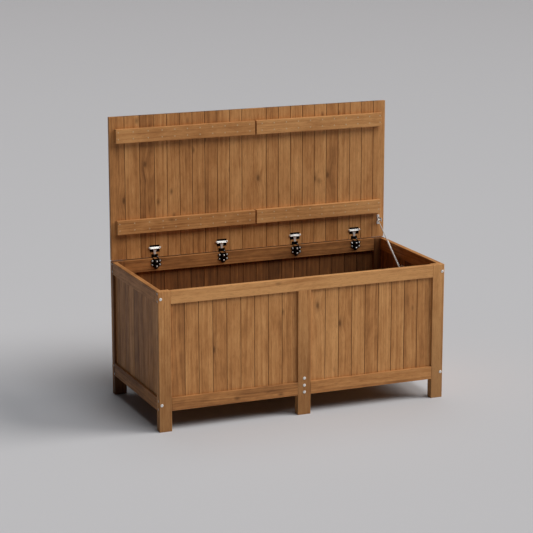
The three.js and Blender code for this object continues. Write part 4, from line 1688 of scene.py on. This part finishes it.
@dataclass(frozen=True)
class Viewpoint:
    """Where the camera stands, by its angles and its distance from a point on the box."""

    azimuth: float = -22.81
    elevation: float = 13.16
    distance: float = 7.562
    target: tuple[float, float, float] = (-0.0446, 0.0, 0.5347)
    lens: float = 129.1

    def build(self) -> None:
        """Makes the scene's camera."""
        camera = bpy.data.objects.new("camera", bpy.data.cameras.new("camera"))
        camera.data.lens = self.lens
        camera.data.sensor_width = 36
        camera.data.clip_end = 200
        stand(camera, self.azimuth, self.elevation, self.distance, self.target)
        bpy.context.scene.camera = camera


@dataclass(frozen=True)
class SoftLight:
    """One soft light a long way off: the way it stands from the box, its spread and its strength."""

    name: str
    azimuth: float
    elevation: float
    strength: float
    spread: float = 35.0
    colour: str = "ffffff"
    distance: float = 5.0

    def build(self) -> None:
        """Makes the light."""
        data = bpy.data.lights.new(self.name, "SUN")
        data.angle = math.radians(self.spread)
        data.energy = self.strength
        data.color = linear(self.colour)[:3]
        light = bpy.data.objects.new(self.name, data)
        stand(light, self.azimuth, self.elevation, self.distance, (0, 0, 0))


@dataclass
class Studio:
    """A plain pale floor and soft light from the front right."""

    floor_radius: float = 60.0
    sky: str = "d4d6dc"
    sky_strength: float = 0.05
    lights: tuple[SoftLight, ...] = (
        SoftLight("key", 70.0, 34.0, 2.3, 34.0, "fffaf4"),
        SoftLight("front", 22.0, 60.0, 1.2, 36.0),
        SoftLight("rear", 160.0, 64.0, 0.4, 40.0),
    )

    def build(self) -> None:
        """Makes the floor, the sky and the lights."""
        mesh = bmesh.new()
        bmesh.ops.create_circle(mesh, cap_ends=True, radius=self.floor_radius, segments=64)
        floor = to_object(mesh, "studio_floor")
        floor.data.materials.append(PaintedFloor().build())
        world = bpy.data.worlds.new("studio")
        world.use_nodes = True
        sky = world.node_tree.nodes["Background"]
        sky.inputs["Color"].default_value = linear(self.sky)
        sky.inputs["Strength"].default_value = self.sky_strength
        bpy.context.scene.world = world
        bpy.context.scene.view_settings.view_transform = "Standard"
        for light in self.lights:
            light.build()


# ---- main ----


def main() -> None:
    """Builds the box, piece by piece, and the studio round it."""
    logging.basicConfig(level=logging.INFO, format="%(message)s")
    Viewpoint().build()
    finishes = Finishes()
    mill = Sawmill()
    timbers = FrameTimbers(mill, finishes.wood)
    timbers.build()
    WallPanels(mill, finishes.wood).build()
    Floor(mill, finishes.wood).build()
    lid = Lid(mill, finishes.wood, finishes.passivated)
    lid.build()
    Bolts(timbers, finishes.zinc).build()
    for number, x in enumerate(lid.hinge_places, 1):
        Hinge(number, x, finishes).build()
    GasStay(finishes).build()
    Studio().build()


if __name__ == "__main__":
    main()
